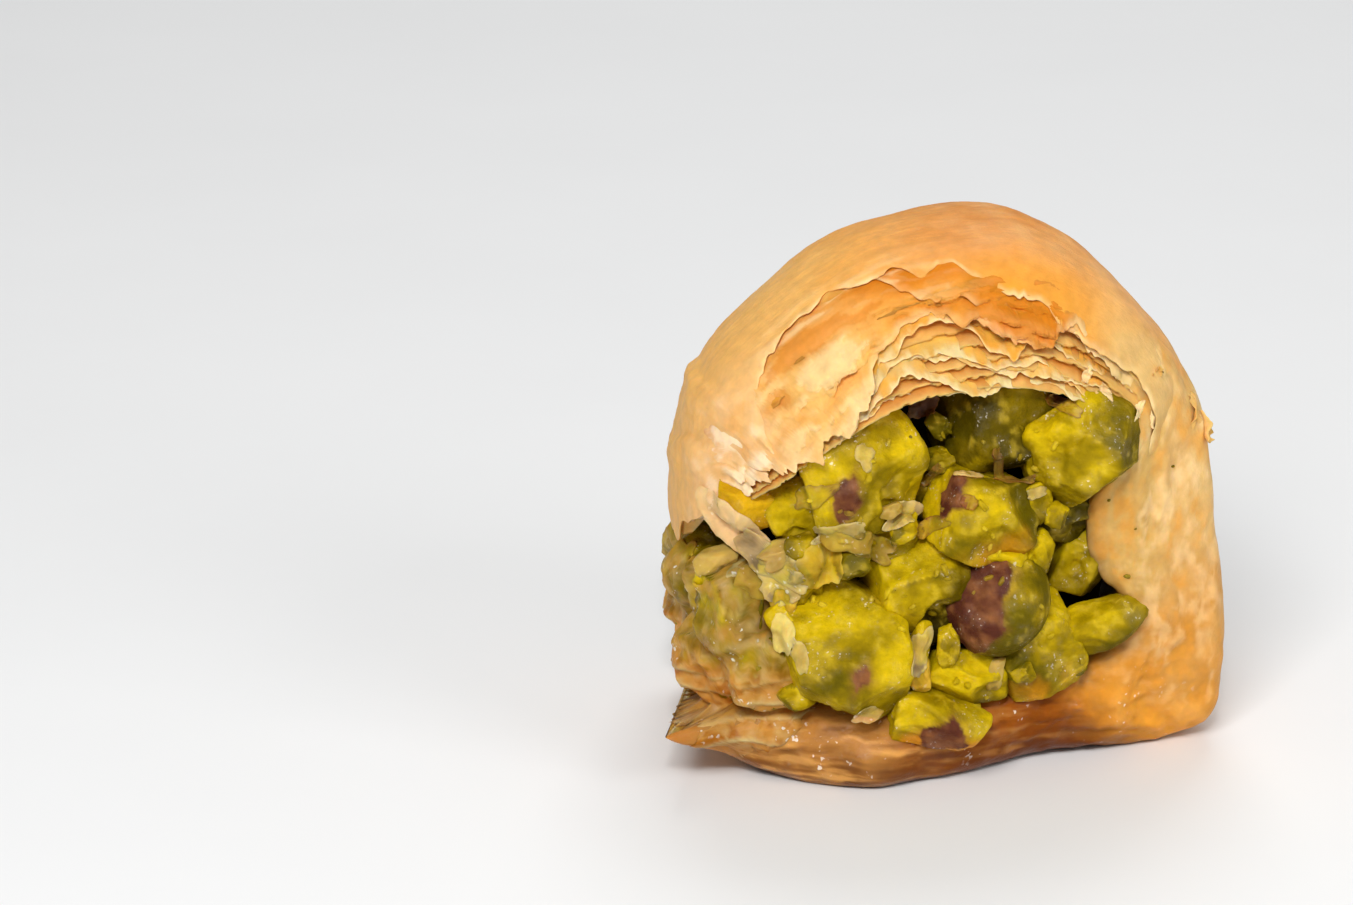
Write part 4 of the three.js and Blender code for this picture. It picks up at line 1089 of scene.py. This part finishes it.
def make_filling(material):
    """The kernels' pieces. Returns their heaps by name, for what lies on them."""
    heaps = {name: Heap() for name in ("pistachio_front", "pistachio_side", "pistachio_back", "pistachio_bits")}
    for i, chunk in enumerate(FACE_CHUNKS):
        heap = heaps["pistachio_side" if chunk.get("veiled") else "pistachio_front"]
        add_chunk(heap, chunk, i + 1, LARGE_CELLS if max(chunk["half"]) > LARGE_HALF else FRONT_CELLS)
    bits = [dict(at=at, half=half, roll=roll, yellow=yellow) for at, half, roll, yellow in SMALL_BITS]
    for name, chunks, seed, cells in (("pistachio_side", side_chunks(), 101, HIDDEN_CELLS),
                                      ("pistachio_back", back_chunks(), 201, HIDDEN_CELLS),
                                      ("pistachio_bits", bits, 361, BIT_CELLS),
                                      ("pistachio_bits", crumb_chunks(), 301, SMALL_CELLS)):
        for i, chunk in enumerate(chunks):
            add_chunk(heaps[name], chunk, i + seed, cells)
    for name, heap in heaps.items():
        heap.make(name, material, "pistachio")
    return heaps


# ------------------------------------------------------------------ wet shreds and films
PATCH_ANGLES, PATCH_RINGS = 64, 9
PATCH_ROUNDS, PATCH_SLACK = 3, 1.4  # how far a scrap spans its ground's dips, and how deep it sinks, in mm
PATCH_GAP = 0.08
FAR = 9.0  # mm from which films and scraps look for what they lie on


class Ground:
    """What films and scraps lie on: a surface that also knows its colours."""

    def __init__(self, heaps):
        whole = Heap()
        for heap in heaps:
            whole.add(*heap.arrays())
        points, self.faces, self.colors, _ = whole.arrays()
        self.tree = BVHTree.FromPolygons(points.tolist(), self.faces)

    def hit(self, start, toward):
        """Where a ray from outside meets the surface on its way in, and the colour there."""
        place, _, face, _ = self.tree.ray_cast(start + toward * FAR, -toward, FAR * 2.2)
        return (None, None) if place is None else (place, self.colors[self.faces[face][0]])

    def settle(self, points, outward, rounds, slack, wrap=False):
        """Heights along outward at which a film over a grid of points comes to lie, how far each point hangs above
        what is under it, and the colour of that."""
        outward = np.broadcast_to(outward, points.shape)
        heights = np.full(points.shape[:2], -slack)
        # Where a ray meets nothing, the colour under stays near black, as painted shade of the gap behind.
        under = np.broadcast_to(SPECK_DARK_AND_SHADE, points.shape).copy()
        for index in np.ndindex(*heights.shape):
            start = points[index] + outward[index] * FAR
            _, _, face, distance = self.tree.ray_cast(Vector(start), Vector(-outward[index]), FAR * 2)
            if face is not None:
                heights[index] = max(FAR - distance, -slack)
                under[index] = self.colors[self.faces[face][0]]
        floor = heights.copy()
        for _ in range(rounds):
            padded = np.pad(heights, ((1, 1), (0, 0)), "wrap" if wrap else "edge")
            sides = 0.5 * (padded[:-2] + padded[2:])
            padded = np.pad(heights, ((0, 0), (1, 1)), "edge")
            along = 0.5 * (padded[:, :-2] + padded[:, 2:])
            heights = np.maximum(floor, 0.5 * (sides + along))
        return heights, heights - floor, under


def scrap_outline(angle, seed, corners, ragged):
    """The radius at each angle of a scrap torn along straight lines between a few corners."""
    at = 2 * math.pi * (np.arange(corners) + 0.5 * chance(seed + np.arange(corners) * 1.7)) / corners
    radius = 1 - ragged * chance(seed * 3.3 + np.arange(corners) * 2.9)
    at, radius = np.append(at, at[0] + 2 * math.pi), np.append(radius, radius[0])
    turn = (angle - at[0]) % (2 * math.pi) + at[0]
    i = np.clip(np.searchsorted(at, turn, side="right") - 1, 0, corners - 1)
    a, b, ra, rb = at[i], at[i + 1], radius[i], radius[i + 1]
    return ra * rb * np.sin(b - a) / (ra * np.sin(turn - a) + rb * np.sin(b - turn))


def patch_faces(n, m):
    """Faces of a closed round sheet of n rays and m rings, whose middle points are the first and the last."""
    count = n * (m - 1)
    faces = []
    for i in range(n):
        j = (i + 1) % n
        faces.append([0, 1 + i * (m - 1), 1 + j * (m - 1)])
        faces.append([1 + 2 * count, 1 + count + j * (m - 1), 1 + count + i * (m - 1)])
        for k in range(m - 2):
            p, q = 1 + i * (m - 1) + k, 1 + j * (m - 1) + k
            faces.append([p, p + 1, q + 1, q])
            faces.append([p + count, q + count, q + count + 1, p + count + 1])
        p, q = 1 + i * (m - 1) + m - 2, 1 + j * (m - 1) + m - 2
        faces.append([p, p + count, q + count, q])
    return faces


def add_patch(heap, ground, at, size, spin, toward, seed, color, lift, thick, ragged, clear, wet):
    """A torn scrap of leaf about `at`, of width and height `size`, which lies on the ground as seen along toward,
    lifts a little at its rim and lets the colour under it through by `clear`."""
    toward = np.array(toward, float) / np.linalg.norm(toward)
    across = np.cross([0, 0, 1], toward)
    across /= np.linalg.norm(across)
    upward = np.cross(toward, across)
    angle = np.linspace(0, 2 * math.pi, PATCH_ANGLES, endpoint=False)[:, None]
    ring = np.linspace(0, 1, PATCH_RINGS)[None, :] ** 0.8
    place = stacked(np.cos(angle), np.sin(angle), seed * 3.7)
    if wet:
        outline = 0.9 * (1 + ragged * fbm(place, 0.9, seed=seed, octaves=2) + 0.12 * fbm(place, 0.2, seed=seed + 3))
    else:
        outline = scrap_outline(angle, seed, 9, ragged) * (1 + 0.3 * fbm(place, 0.4, seed=seed, octaves=3))
    a = size[0] / 2 * ring * outline * np.cos(angle)
    b = size[1] / 2 * ring * outline * np.sin(angle)
    turn = math.radians(spin)
    a, b = a * math.cos(turn) - b * math.sin(turn), a * math.sin(turn) + b * math.cos(turn)
    flat = np.array(at, float) + a[..., None] * across + b[..., None] * upward
    heights, bridged, under = ground.settle(flat, toward, PATCH_ROUNDS, PATCH_SLACK, wrap=True)
    crumple = 0.22 * fbm(flat, 1.0, seed=seed + 5, octaves=3) + lift * ring ** 4 * 1.6 * fbm(place, 1.2, seed=seed + 7)
    middle = heights + PATCH_GAP + crumple
    half = 0.5 * thick * (1 - 0.6 * ring ** 4)
    seen = clear * (1 - 0.5 * smoothstep(bridged, 0, 0.9)) * (1 - 0.6 * ring ** 6)
    seen = seen + 0.4 * fbm(flat, 1.0, seed=seed + 11)
    shade = painted(color, (LEAF_WHITE, 0.5 * fbm(flat, 1.0, seed=seed + 9)), (under, np.clip(seen, 0, 0.8)))
    sheets = []
    for sheet in (flat + toward * (middle + half)[..., None], flat + toward * (middle - half)[..., None], shade):
        sheets.append((sheet[:, 0].mean(0)[None], sheet[:, 1:].reshape(-1, 3)))
    (top_mid, top), (bottom_mid, bottom), (mid_color, rim_color) = sheets
    heap.add(np.vstack([top_mid, top, bottom, bottom_mid]), patch_faces(PATCH_ANGLES, PATCH_RINGS),
             np.vstack([mid_color, rim_color, rim_color, mid_color]), wet)


WET_CREAM = linear((220, 184, 124))
WET_GREY = linear((146, 112, 46))
WET_DULL = linear((176, 142, 84))
WET_YELLOW = linear((206, 158, 46))
LEAF_YELLOW = linear((232, 196, 108))
SKIN_PINK = linear((132, 78, 40))
DULL_COLORS = (LEAF_PALE, LEAF_YELLOW, FLAP_CREAM)
WET_SCRAP = dict(lift=0.2, thick=0.34, ragged=0.6, clear=0.6, wet=0.7)
DULL_SCRAP = dict(WET_SCRAP, ragged=0.3, clear=0.1)
FEATHER = dict(lift=0.9, thick=0.16, ragged=0.55, clear=0.2, wet=0.0)
# Scraps of wet filo and kernel skin among the chunks: where, how large, turned by how much, which way they face and
# what colour.
SHREDS = [
    ((0.0, -14.5, 27.3), (2.6, 1.3), 8, (0, -0.5, 1), LEAF_PALE),
    ((-5.4, -15.0, 24.0), (3.4, 2.2), 25, (0, -1, 0.5), WET_CREAM),
    ((-3.4, -15.0, 22.8), (2.8, 1.6), 30, (0, -1, 0.4), SKIN_PINK),
    ((-11.2, -15.5, 23.0), (5.4, 1.8), 8, (-0.2, -1, 0.3), WET_CREAM),
    ((-8.0, -15.0, 21.2), (4.4, 2.4), -20, (-0.1, -1, 0.3), WET_GREY),
    ((-16.4, -14.5, 20.6), (7.0, 2.8), -30, (-0.4, -1, 0.3), WET_CREAM),
    ((-15.6, -15.0, 18.4), (4.2, 3.4), 12, (-0.3, -1, 0.2), WET_CREAM),
    ((-15.6, -15.7, 14.4), (2.3, 4.0), 6, (-0.3, -1, 0.2), LEAF_YELLOW),
    ((-12.2, -15.5, 20.0), (4.0, 4.6), 8, (-0.2, -1, 0.2), WET_YELLOW),
    ((-4.2, -16.8, 12.6), (2.2, 4.6), -6, (0, -1, 0.2), WET_CREAM),
    ((-3.1, -11.5, 31.6), (2.4, 1.4), 30, (0, -1, 0.2), SKIN_PINK),
    ((8.0, -12.5, 31.6), (3.0, 1.4), -25, (0, -1, 0.3), SKIN_PINK),
    ((3.7, -13.0, 26.4), (3.6, 1.0), -12, (0, -0.7, 1), SKIN_PINK),
    ((-8.4, -17.0, 7.6), (2.4, 1.3), 14, (0, -1, 0.4), WET_DULL),
    ((-9.0, -15.4, 29.6), (1.8, 2.4), 10, (-0.1, -1, 0.2), WET_CREAM),
    ((-13.0, -14.0, 25.6), (4.6, 2.0), 35, (-0.2, -1, 0.2), WET_GREY),
    ((5.8, -13.4, 24.6), (1.8, 1.0), 10, (0.1, -1, 0.5), WET_CREAM),
    ((-0.6, -13.6, 24.2), (1.6, 1.3), 30, (0, -1, 0.4), SKIN_PINK),
    ((-19.0, -12.0, 22.7), (8.4, 3.6), -36, (-0.4, -1, 0.3), FLAP_CREAM),
    ((-13.6, -14.5, 12.6), (1.8, 3.6), 20, (-0.3, -1, 0.2), WET_CREAM),
    ((-18.6, -11.0, 19.0), (3.6, 2.4), -20, (-0.6, -1, 0.3), WET_CREAM),
    ((2.4, -12.0, 27.2), (1.8, 1.0), 60, (0, -1, 0.6), SKIN_PINK),
    ((-2.6, -12.4, 26.4), (2.0, 1.2), 40, (0, -1, 0.6), SKIN_PINK),
]
# Lumps of soaked leaf between the chunks: where, half sizes, turned by how much and what colour.
LUMPS = [
    ((-10.0, -15.2, 22.2), (2.2, 1.2, 1.2), -10, WET_GREY), ((-20.0, -10.4, 19.2), (1.9, 1.2, 1.2), 20, WET_DULL),
    ((-17.4, -12.2, 17.8), (1.7, 1.2, 1.3), -20, WET_GREY), ((-15.4, -13.4, 20.6), (1.9, 1.1, 1.1), 25, WET_DULL),
    ((2.4, -14.4, 9.4), (0.8, 0.7, 1.6), -15, WET_DULL), ((-4.0, -15.2, 10.2), (0.9, 0.8, 1.7), 6, WET_YELLOW),
    ((-15.0, -13.4, 16.6), (1.3, 1.0, 1.4), 10, WET_YELLOW), ((-6.6, -14.8, 24.4), (1.0, 0.7, 0.6), 25, WET_DULL),
]
# Feathery scraps of dry leaf on the right shoulder and at the right flank, as SHREDS.
FEATHERS = [
    ((10.1, -13.5, 34.4), (1.0, 2.6), -32, (0.1, -1, 0.4), LEAF_WHITE),
    ((11.8, -13.5, 33.0), (1.1, 2.0), 28, (0.1, -1, 0.4), LEAF_WHITE),
    ((14.6, -13.0, 31.0), (1.4, 3.0), -38, (0.1, -1, 0.3), LEAF_WHITE),
    ((15.9, -12.6, 29.8), (1.2, 2.4), 10, (0.2, -1, 0.3), LEAF_WHITE),
    ((16.4, -12.0, 33.6), (1.6, 1.0), 40, (0.2, -1, 0.3), LEAF_PALE),
    ((21.4, -9.6, 29.4), (2.2, 5.0), -8, (0.9, -0.45, 0.1), LEAF_PALE),
    ((21.9, -9.2, 27.6), (1.6, 4.4), -16, (0.9, -0.45, 0.1), LEAF_PALE),
]


def make_shreds(material, dry, ground):
    """Wet scraps and lumps among the chunks, and dry feathers on the shoulder."""
    heap = Heap()
    for i, (*scrap, color) in enumerate(SHREDS):
        kind = DULL_SCRAP if any(color is dull for dull in DULL_COLORS) else WET_SCRAP
        add_patch(heap, ground, *scrap, 600 + i, color, **kind)
    for i, (at, half, roll, color) in enumerate(LUMPS):
        add_chunk(heap, dict(at=at, half=half, roll=roll, tone=color, worn=0.8), 660 + i, BIT_CELLS)
    heap.make("wet_shreds", material, "baked_filo")
    heap = Heap()
    for i, (*scrap, color) in enumerate(FEATHERS):
        add_patch(heap, ground, *scrap, 640 + i, color, **FEATHER)
    heap.make("shoulder_feathers", dry, "baked_filo")


FILM_AXIS = np.array([-5.0, 1.0])
FILM_TURN = (112.0, 252.0)  # degrees round FILM_AXIS, from +X
# Heights of its lower and upper edge by that angle.
FILM_FOOT = ((112, 5.2), (195, 4.2), (208, 3.0), (218, 2.4), (228, 2.6), (238, 3.8), (252, 6.0))
FILM_TOP = ((112, 14.5), (150, 16), (190, 17.4), (216, 18.8), (228, 18.4), (240, 17.0), (252, 16.0))
FILM_WINDOW = ((-19.6, -9.8, 15.2), 2.0, 3.6)  # where it is clearest: centre, and radii of clear and of dull
FILM_RADIUS = 13.0
FILM_COLUMNS, FILM_ROWS = 170, 84
FILM_ROUNDS, FILM_SLACK = 5, 2.8  # as PATCH_ROUNDS and PATCH_SLACK
FILM_GAP, FILM_HALF = 0.16, 0.08  # how far it stands off its ground, and half its thickness
FILM_STRATA = 1.9  # height of the layers that show low on it
FILM_TAN = linear((206, 136, 58))
FILM_OLIVE = linear((176, 128, 44))


def make_film(material, ground):
    """The soaked leaf that clings to the chunks down the open left side and shows them through."""
    angle = np.radians(np.linspace(*FILM_TURN, FILM_COLUMNS))[:, None]
    degrees = np.degrees(angle)
    share = np.linspace(0, 1, FILM_ROWS)[None, :]
    foot = table(FILM_FOOT, degrees) + 0.6 * smooth_noise(angle * 13, 11) + 0.3 * smooth_noise(angle * 47, 12)
    torn = 1.1 * smooth_noise(angle * 9, 8) + 0.6 * smooth_noise(angle * 31, 9) + 0.3 * smooth_noise(angle * 80, 10)
    z = foot + (table(FILM_TOP, degrees) + torn - foot) * share
    outward = stacked(np.cos(angle) + 0 * z, np.sin(angle) + 0 * z, 0)
    points = np.append(FILM_AXIS, 0.0) + outward * FILM_RADIUS + stacked(0, 0, z)
    heights, bridged, under = ground.settle(points, outward, FILM_ROUNDS, FILM_SLACK)
    arc = angle * FILM_RADIUS
    strata = (z - 0.22 * arc + 1.3 * fbm(points, 4.0, seed=92)) / FILM_STRATA
    strata = strata - np.floor(strata)
    low = smoothstep(12.5 - z, 0, 5)
    shelf = low * (smoothstep(strata, 0.0, 0.12) * (1 - strata) - 0.4)
    crumple = (0.25 * fbm(points, 2.2, seed=95) + 0.3 * fbm(points, 1.0, seed=96, octaves=3)
               + 0.4 * shelf)
    ends = np.minimum(angle - angle[0], angle[-1] - angle) * FILM_RADIUS
    ends = ends + 1.2 * fbm(points, 1.5, seed=94)
    tuck = 0.9 * fade(ends, 0.3, 3.5) + 0.6 * fade(z - foot, 0.1, 1.2)
    middle = heights + FILM_GAP + crumple - tuck
    top = points + outward * (middle + FILM_HALF)[..., None]
    bottom = points + outward * (middle - FILM_HALF)[..., None]
    window = np.linalg.norm(top - np.array(FILM_WINDOW[0]), axis=-1)
    cloud, fine = fbm(top, 2.0, seed=98), fbm(top, 0.7, seed=93, octaves=3)
    veil = 0.42 + 0.5 * smoothstep(bridged, 0.0, 0.8) + 1.0 * low + 0.6 * cloud + 0.4 * fine
    veil = veil - 0.8 * fade(window, *FILM_WINDOW[1:])
    tan = painted(
        FILM_OLIVE,
        (FILM_TAN, low + 0.45 + fbm(top, 3.1, seed=99)),
        (SOAKED_PALE, 0.8 * smoothstep(-cloud - 0.6 * fine, 0.0, 0.45) + 0.5 * smoothstep(5.5 - z, 0, 2)))
    color = painted(
        under,
        (tan, np.clip(veil, 0.1, 1) * smoothstep(ends, -0.5, 3.0)),
        (WET_CREAM, 0.4 * smoothstep(crumple, 0.08, 0.35) + 0.35 * low * fade(strata, 0.1, 0.3)
         + 0.5 * np.clip(fine, 0, 0.5)))
    ring, colors = (np.concatenate([first, second[:, ::-1]], axis=1)[:, ::-1]
                    for first, second in ((top, bottom), (color, color)))
    heap = Heap()
    heap.add(ring, loft_faces(*ring.shape[:2]), colors.reshape(-1, 3), 0.9)
    heap.make("wet_film", material, "baked_filo")


# ------------------------------------------------------------------ materials
# The colour of painted highlights, mixed into the base colour as small glints.
GLINT = (1.0, 0.92, 0.78, 1)
GLINT_SPECKS = (0.64, 0.7)  # values of noise between which a speck begins
GLINT_CLUSTER, GLINT_EDGE = 6.0, 0.08  # a cluster's size in specks, and over how much noise it thins out
FLOOR_COLORS = ((0.8, 0.8, 0.795, 1), (0.84, 0.84, 0.835, 1))
FLOOR_CLOUDS = 40.0  # mm
COLOR_A, COLOR_B, MIXED = 6, 7, 2  # a mix node's sockets for colours, and its colour output


def new_material(name, **values):
    """A material, its node tree, its shader with the given values, and the piece's own coordinates."""
    material = bpy.data.materials.new(name)
    material.use_nodes = True
    tree = material.node_tree
    shader = tree.nodes["Principled BSDF"]
    for key, value in values.items():
        shader.inputs[key.replace("_", " ")].default_value = value
    return material, tree, shader, node(tree, "ShaderNodeTexCoord").outputs["Object"]


def node(tree, kind, links=(), **values):
    """A new node with the given values, whose sockets named or numbered in links take what they are paired with."""
    made = tree.nodes.new(kind)
    for key, value in values.items():
        if key in made.inputs:
            made.inputs[key].default_value = value
        else:
            setattr(made, key, value)
    for key, socket in links:
        tree.links.new(socket, made.inputs[key])
    return made


def noise_texture(tree, coordinates, size_mm, detail=4.0, rough=0.55):
    return node(tree, "ShaderNodeTexNoise", [("Vector", coordinates)], Scale=1 / (size_mm * MM), Detail=detail,
                Roughness=rough).outputs["Fac"]


def mapped(tree, socket, low, high, to_low, to_high):
    values = {"From Min": low, "From Max": high, "To Min": to_low, "To Max": to_high}
    return node(tree, "ShaderNodeMapRange", [("Value", socket)], **values).outputs["Result"]


def tinted_color(tree, variation, size_mm, coordinates):
    """The mesh's own colour, made lighter and darker by fine noise."""
    tint = node(tree, "ShaderNodeAttribute", attribute_name="tint")
    shade = mapped(tree, noise_texture(tree, coordinates, size_mm), 0.25, 0.75, 1 - variation, 1 + variation)
    return node(tree, "ShaderNodeVectorMath", [(0, tint.outputs["Color"]), ("Scale", shade)],
                operation="SCALE").outputs["Vector"]


def product(tree, first, second):
    return node(tree, "ShaderNodeMath", [(0, first), (1, second)], operation="MULTIPLY").outputs["Value"]


def with_painted_glints(tree, color, coordinates, size_mm, clusters_above, share):
    """The colour with small bright specks of painted highlight on it, standing for glints on wet syrup, gathered
    in clusters. share is a socket that thins them out."""
    specks = mapped(tree, noise_texture(tree, coordinates, size_mm, 1.0), *GLINT_SPECKS, 0, 1)
    clusters = noise_texture(tree, coordinates, GLINT_CLUSTER * size_mm, 2.0)
    clusters = mapped(tree, clusters, clusters_above, clusters_above + GLINT_EDGE, 0, 1)
    mask = product(tree, product(tree, specks, clusters), share)
    mix = node(tree, "ShaderNodeMix", data_type="RGBA")
    mix.inputs[COLOR_B].default_value = GLINT
    tree.links.new(mask, mix.inputs["Factor"])
    tree.links.new(color, mix.inputs[COLOR_A])
    return mix.outputs[MIXED]


def bump(tree, heights, shader, normal=None):
    """Chains bump nodes: each of heights is a socket, a distance in mm and a strength. The shader's surface takes the
    result, or, where there is a normal to start from, only its coat."""
    target = "Coat Normal" if normal else "Normal"
    for socket, distance, strength in heights:
        links = [("Height", socket)] + ([("Normal", normal)] if normal else [])
        normal = node(tree, "ShaderNodeBump", links, Strength=strength, Distance=distance * MM).outputs["Normal"]
    tree.links.new(normal, shader.inputs[target])
    return normal


def feed(tree, shader, coordinates, sockets, relief, coat_relief):
    """Links what varies over the surface to the shader. coat_relief is the size, distance and strength of the coat's
    own bump."""
    for name, socket in sockets.items():
        tree.links.new(socket, shader.inputs[name])
    normal = bump(tree, relief, shader)
    size, distance, strength = coat_relief
    bump(tree, [(noise_texture(tree, coordinates, size, 2.5), distance, strength)], shader, normal)


def filo_material(name, scatter, scatter_mm):
    """Filo, which shines where the mesh's own wetness says so, and there takes painted glints into its base colour."""
    material, tree, shader, coordinates = new_material(
        name, Coat_Roughness=0.09, Specular_IOR_Level=0.1, Subsurface_Weight=scatter,
        Subsurface_Radius=(1.0, 0.5, 0.16), Subsurface_Scale=scatter_mm * MM)
    stretched = node(tree, "ShaderNodeMapping", [("Vector", coordinates)], Scale=(0.45, 1.7, 0.45))
    wrinkles = noise_texture(tree, stretched.outputs["Vector"], 1.1, 6.0, 0.62)
    grain = noise_texture(tree, coordinates, 0.4, 4.0)
    damp = node(tree, "ShaderNodeAttribute", attribute_name="wet").outputs["Fac"]
    puddles = mapped(tree, noise_texture(tree, coordinates, 1.7, 3.0), 0.5, 0.62, 0.0, 0.28)
    feed(tree, shader, coordinates, {
        "Base Color": with_painted_glints(tree, tinted_color(tree, 0.12, 1.2, coordinates), coordinates, 0.5, 0.54,
                                  mapped(tree, damp, 0.4, 0.9, 0, 0.6)),
        "Roughness": mapped(tree, damp, 0, 1, 0.55, 0.34),
        "Coat Weight": product(tree, damp, puddles),
    }, [(wrinkles, 0.2, 0.6), (grain, 0.07, 0.5)], (0.9, 0.45, 1.0))
    return material


def kernel_material(name, coat):
    """Pistachio, with coat as the share of syrup on it, which also sets how many painted glints its colour takes."""
    material, tree, shader, coordinates = new_material(
        name, Coat_Roughness=0.12, Specular_IOR_Level=0.06, Subsurface_Weight=0.25,
        Subsurface_Radius=(1.0, 0.8, 0.1), Subsurface_Scale=1.0 * MM)
    syrup = node(tree, "ShaderNodeValue")
    syrup.outputs["Value"].default_value = coat
    grain = noise_texture(tree, coordinates, 0.7, 6.0, 0.7)
    pits = noise_texture(tree, coordinates, 0.18, 3.0)
    feed(tree, shader, coordinates, {
        "Base Color": with_painted_glints(tree, tinted_color(tree, 0.14, 0.5, coordinates), coordinates, 0.3, 0.56,
                                  syrup.outputs["Value"]),
        "Roughness": mapped(tree, noise_texture(tree, coordinates, 1.3), 0.3, 0.7, 0.36, 0.6),
        "Coat Weight": mapped(tree, noise_texture(tree, coordinates, 1.8, 3.0), 0.48, 0.58, 0.0, coat),
    }, [(grain, 0.22, 0.85), (pits, 0.05, 0.7)], (0.8, 0.4, 1.0))
    return material


def floor_material():
    material, tree, shader, coordinates = new_material("pale_floor", Roughness=0.6)
    mix = node(tree, "ShaderNodeMix", data_type="RGBA")
    mix.inputs[COLOR_A].default_value, mix.inputs[COLOR_B].default_value = FLOOR_COLORS
    tree.links.new(noise_texture(tree, coordinates, FLOOR_CLOUDS), mix.inputs["Factor"])
    tree.links.new(mix.outputs[MIXED], shader.inputs["Base Color"])
    return material


# ------------------------------------------------------------------ stage
PHOTO_WIDTH, PHOTO_HEIGHT = 1353, 905
VIEW_AZIMUTH, VIEW_ELEVATION = -13.0, 20.0
VIEW_DISTANCE = 450.0
PIXELS_PER_MM = 12.0
AIM = Vector((0, 0, 22))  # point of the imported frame, in mm
AIM_PIXEL = (933.0, 473.0)  # where the photograph shows it
SENSOR = 36.0
CLIP = (0.01, 10.0)
LIT_POINT = Vector((0, 0, 0.022))  # what every light is turned to, in metres
# Soft square lights: name, place in metres, size in metres and power.
LIGHTS = [
    ("key", (-0.25, -0.46, 0.46), 0.2, 2.5),
    ("fill", (0.4, -0.42, 0.36), 0.3, 1.15),
    ("rim", (0.1, 0.35, 0.5), 0.3, 1.2),
    ("glint", (-0.12, -0.5, 0.42), 0.06, 1.3),
]
SKY_COLOR, SKY_STRENGTH = (0.95, 0.97, 1.0, 1), 0.26
FLOOR_HALF, FLOOR_CELLS, FLOOR_THICK = 1.6, 8, 0.02


def make_camera():
    """Stands where AIM is seen at the photograph's angle, and turns so that AIM falls on AIM_PIXEL."""
    azimuth, elevation = math.radians(VIEW_AZIMUTH), math.radians(VIEW_ELEVATION)
    back = Vector((math.sin(azimuth) * math.cos(elevation), -math.cos(azimuth) * math.cos(elevation),
                   math.sin(elevation)))
    focal = PIXELS_PER_MM * VIEW_DISTANCE
    right = (AIM_PIXEL[0] - PHOTO_WIDTH / 2) / focal
    down = (AIM_PIXEL[1] - PHOTO_HEIGHT / 2) / focal
    slant = math.sqrt(1 + right ** 2 + down ** 2)
    tilt = math.atan(down) - math.asin(slant * math.sin(elevation) / math.hypot(1, down))
    turn = azimuth + math.atan2(right, math.cos(tilt) + down * math.sin(tilt))
    data = bpy.data.cameras.new("camera")
    data.sensor_width = SENSOR
    data.lens = focal / PHOTO_WIDTH * SENSOR
    data.clip_start, data.clip_end = CLIP
    camera = bpy.data.objects.new("camera", data)
    bpy.context.scene.collection.objects.link(camera)
    camera.location = (AIM + back * VIEW_DISTANCE) * MM
    camera.rotation_euler = (math.pi / 2 + tilt, 0, turn)
    bpy.context.scene.camera = camera


def make_light(name, place, size, power):
    """A light that is turned to LIT_POINT."""
    data = bpy.data.lights.new(name, "AREA")
    data.size = size
    data.energy = power
    light = bpy.data.objects.new(name, data)
    bpy.context.scene.collection.objects.link(light)
    light.location = place
    light.rotation_euler = (LIT_POINT - Vector(place)).to_track_quat("-Z", "Y").to_euler()


def make_stage():
    mesh = bpy.data.meshes.new("floor")
    bm = bmesh.new()
    bmesh.ops.create_grid(bm, x_segments=FLOOR_CELLS, y_segments=FLOOR_CELLS, size=FLOOR_HALF)
    geometry = bmesh.ops.extrude_face_region(bm, geom=bm.faces[:])
    for vertex in geometry["geom"]:
        if isinstance(vertex, bmesh.types.BMVert):
            vertex.co.z -= FLOOR_THICK
    bm.to_mesh(mesh)
    bm.free()
    mesh.materials.append(floor_material())
    floor = bpy.data.objects.new("floor", mesh)
    bpy.context.scene.collection.objects.link(floor)
    for light in LIGHTS:
        make_light(*light)
    world = bpy.data.worlds.new("studio")
    bpy.context.scene.world = world
    world.use_nodes = True
    sky = world.node_tree.nodes["Background"]
    sky.inputs["Color"].default_value, sky.inputs["Strength"].default_value = SKY_COLOR, SKY_STRENGTH
    settings = bpy.context.scene.view_settings
    settings.view_transform = "Standard"
    settings.look = "None"


# ------------------------------------------------------------------ assembly
filo = filo_material("filo_soaked", 0.45, 1.4)
dry_filo = filo_material("filo_dry", 0.3, 0.3)
kernels = kernel_material("pistachio", 0.45)
make_camera()
body = make_body(filo)
make_skin(dry_filo)
make_leaves(dry_filo, filo_material("filo_stack", 0.5, 0.5))
make_core(kernel_material("filling_heart", 0.0))
filling = make_filling(kernels)
ground = Ground([body, *filling.values()])
crumbs = Heap()
scatter_crumbs(crumbs, ground)
crumbs.make("pistachio_crumbs", kernels, "pistachio")
make_shreds(filo, dry_filo, ground)
make_film(filo, Ground([body, filling["pistachio_side"]]))
make_stage()
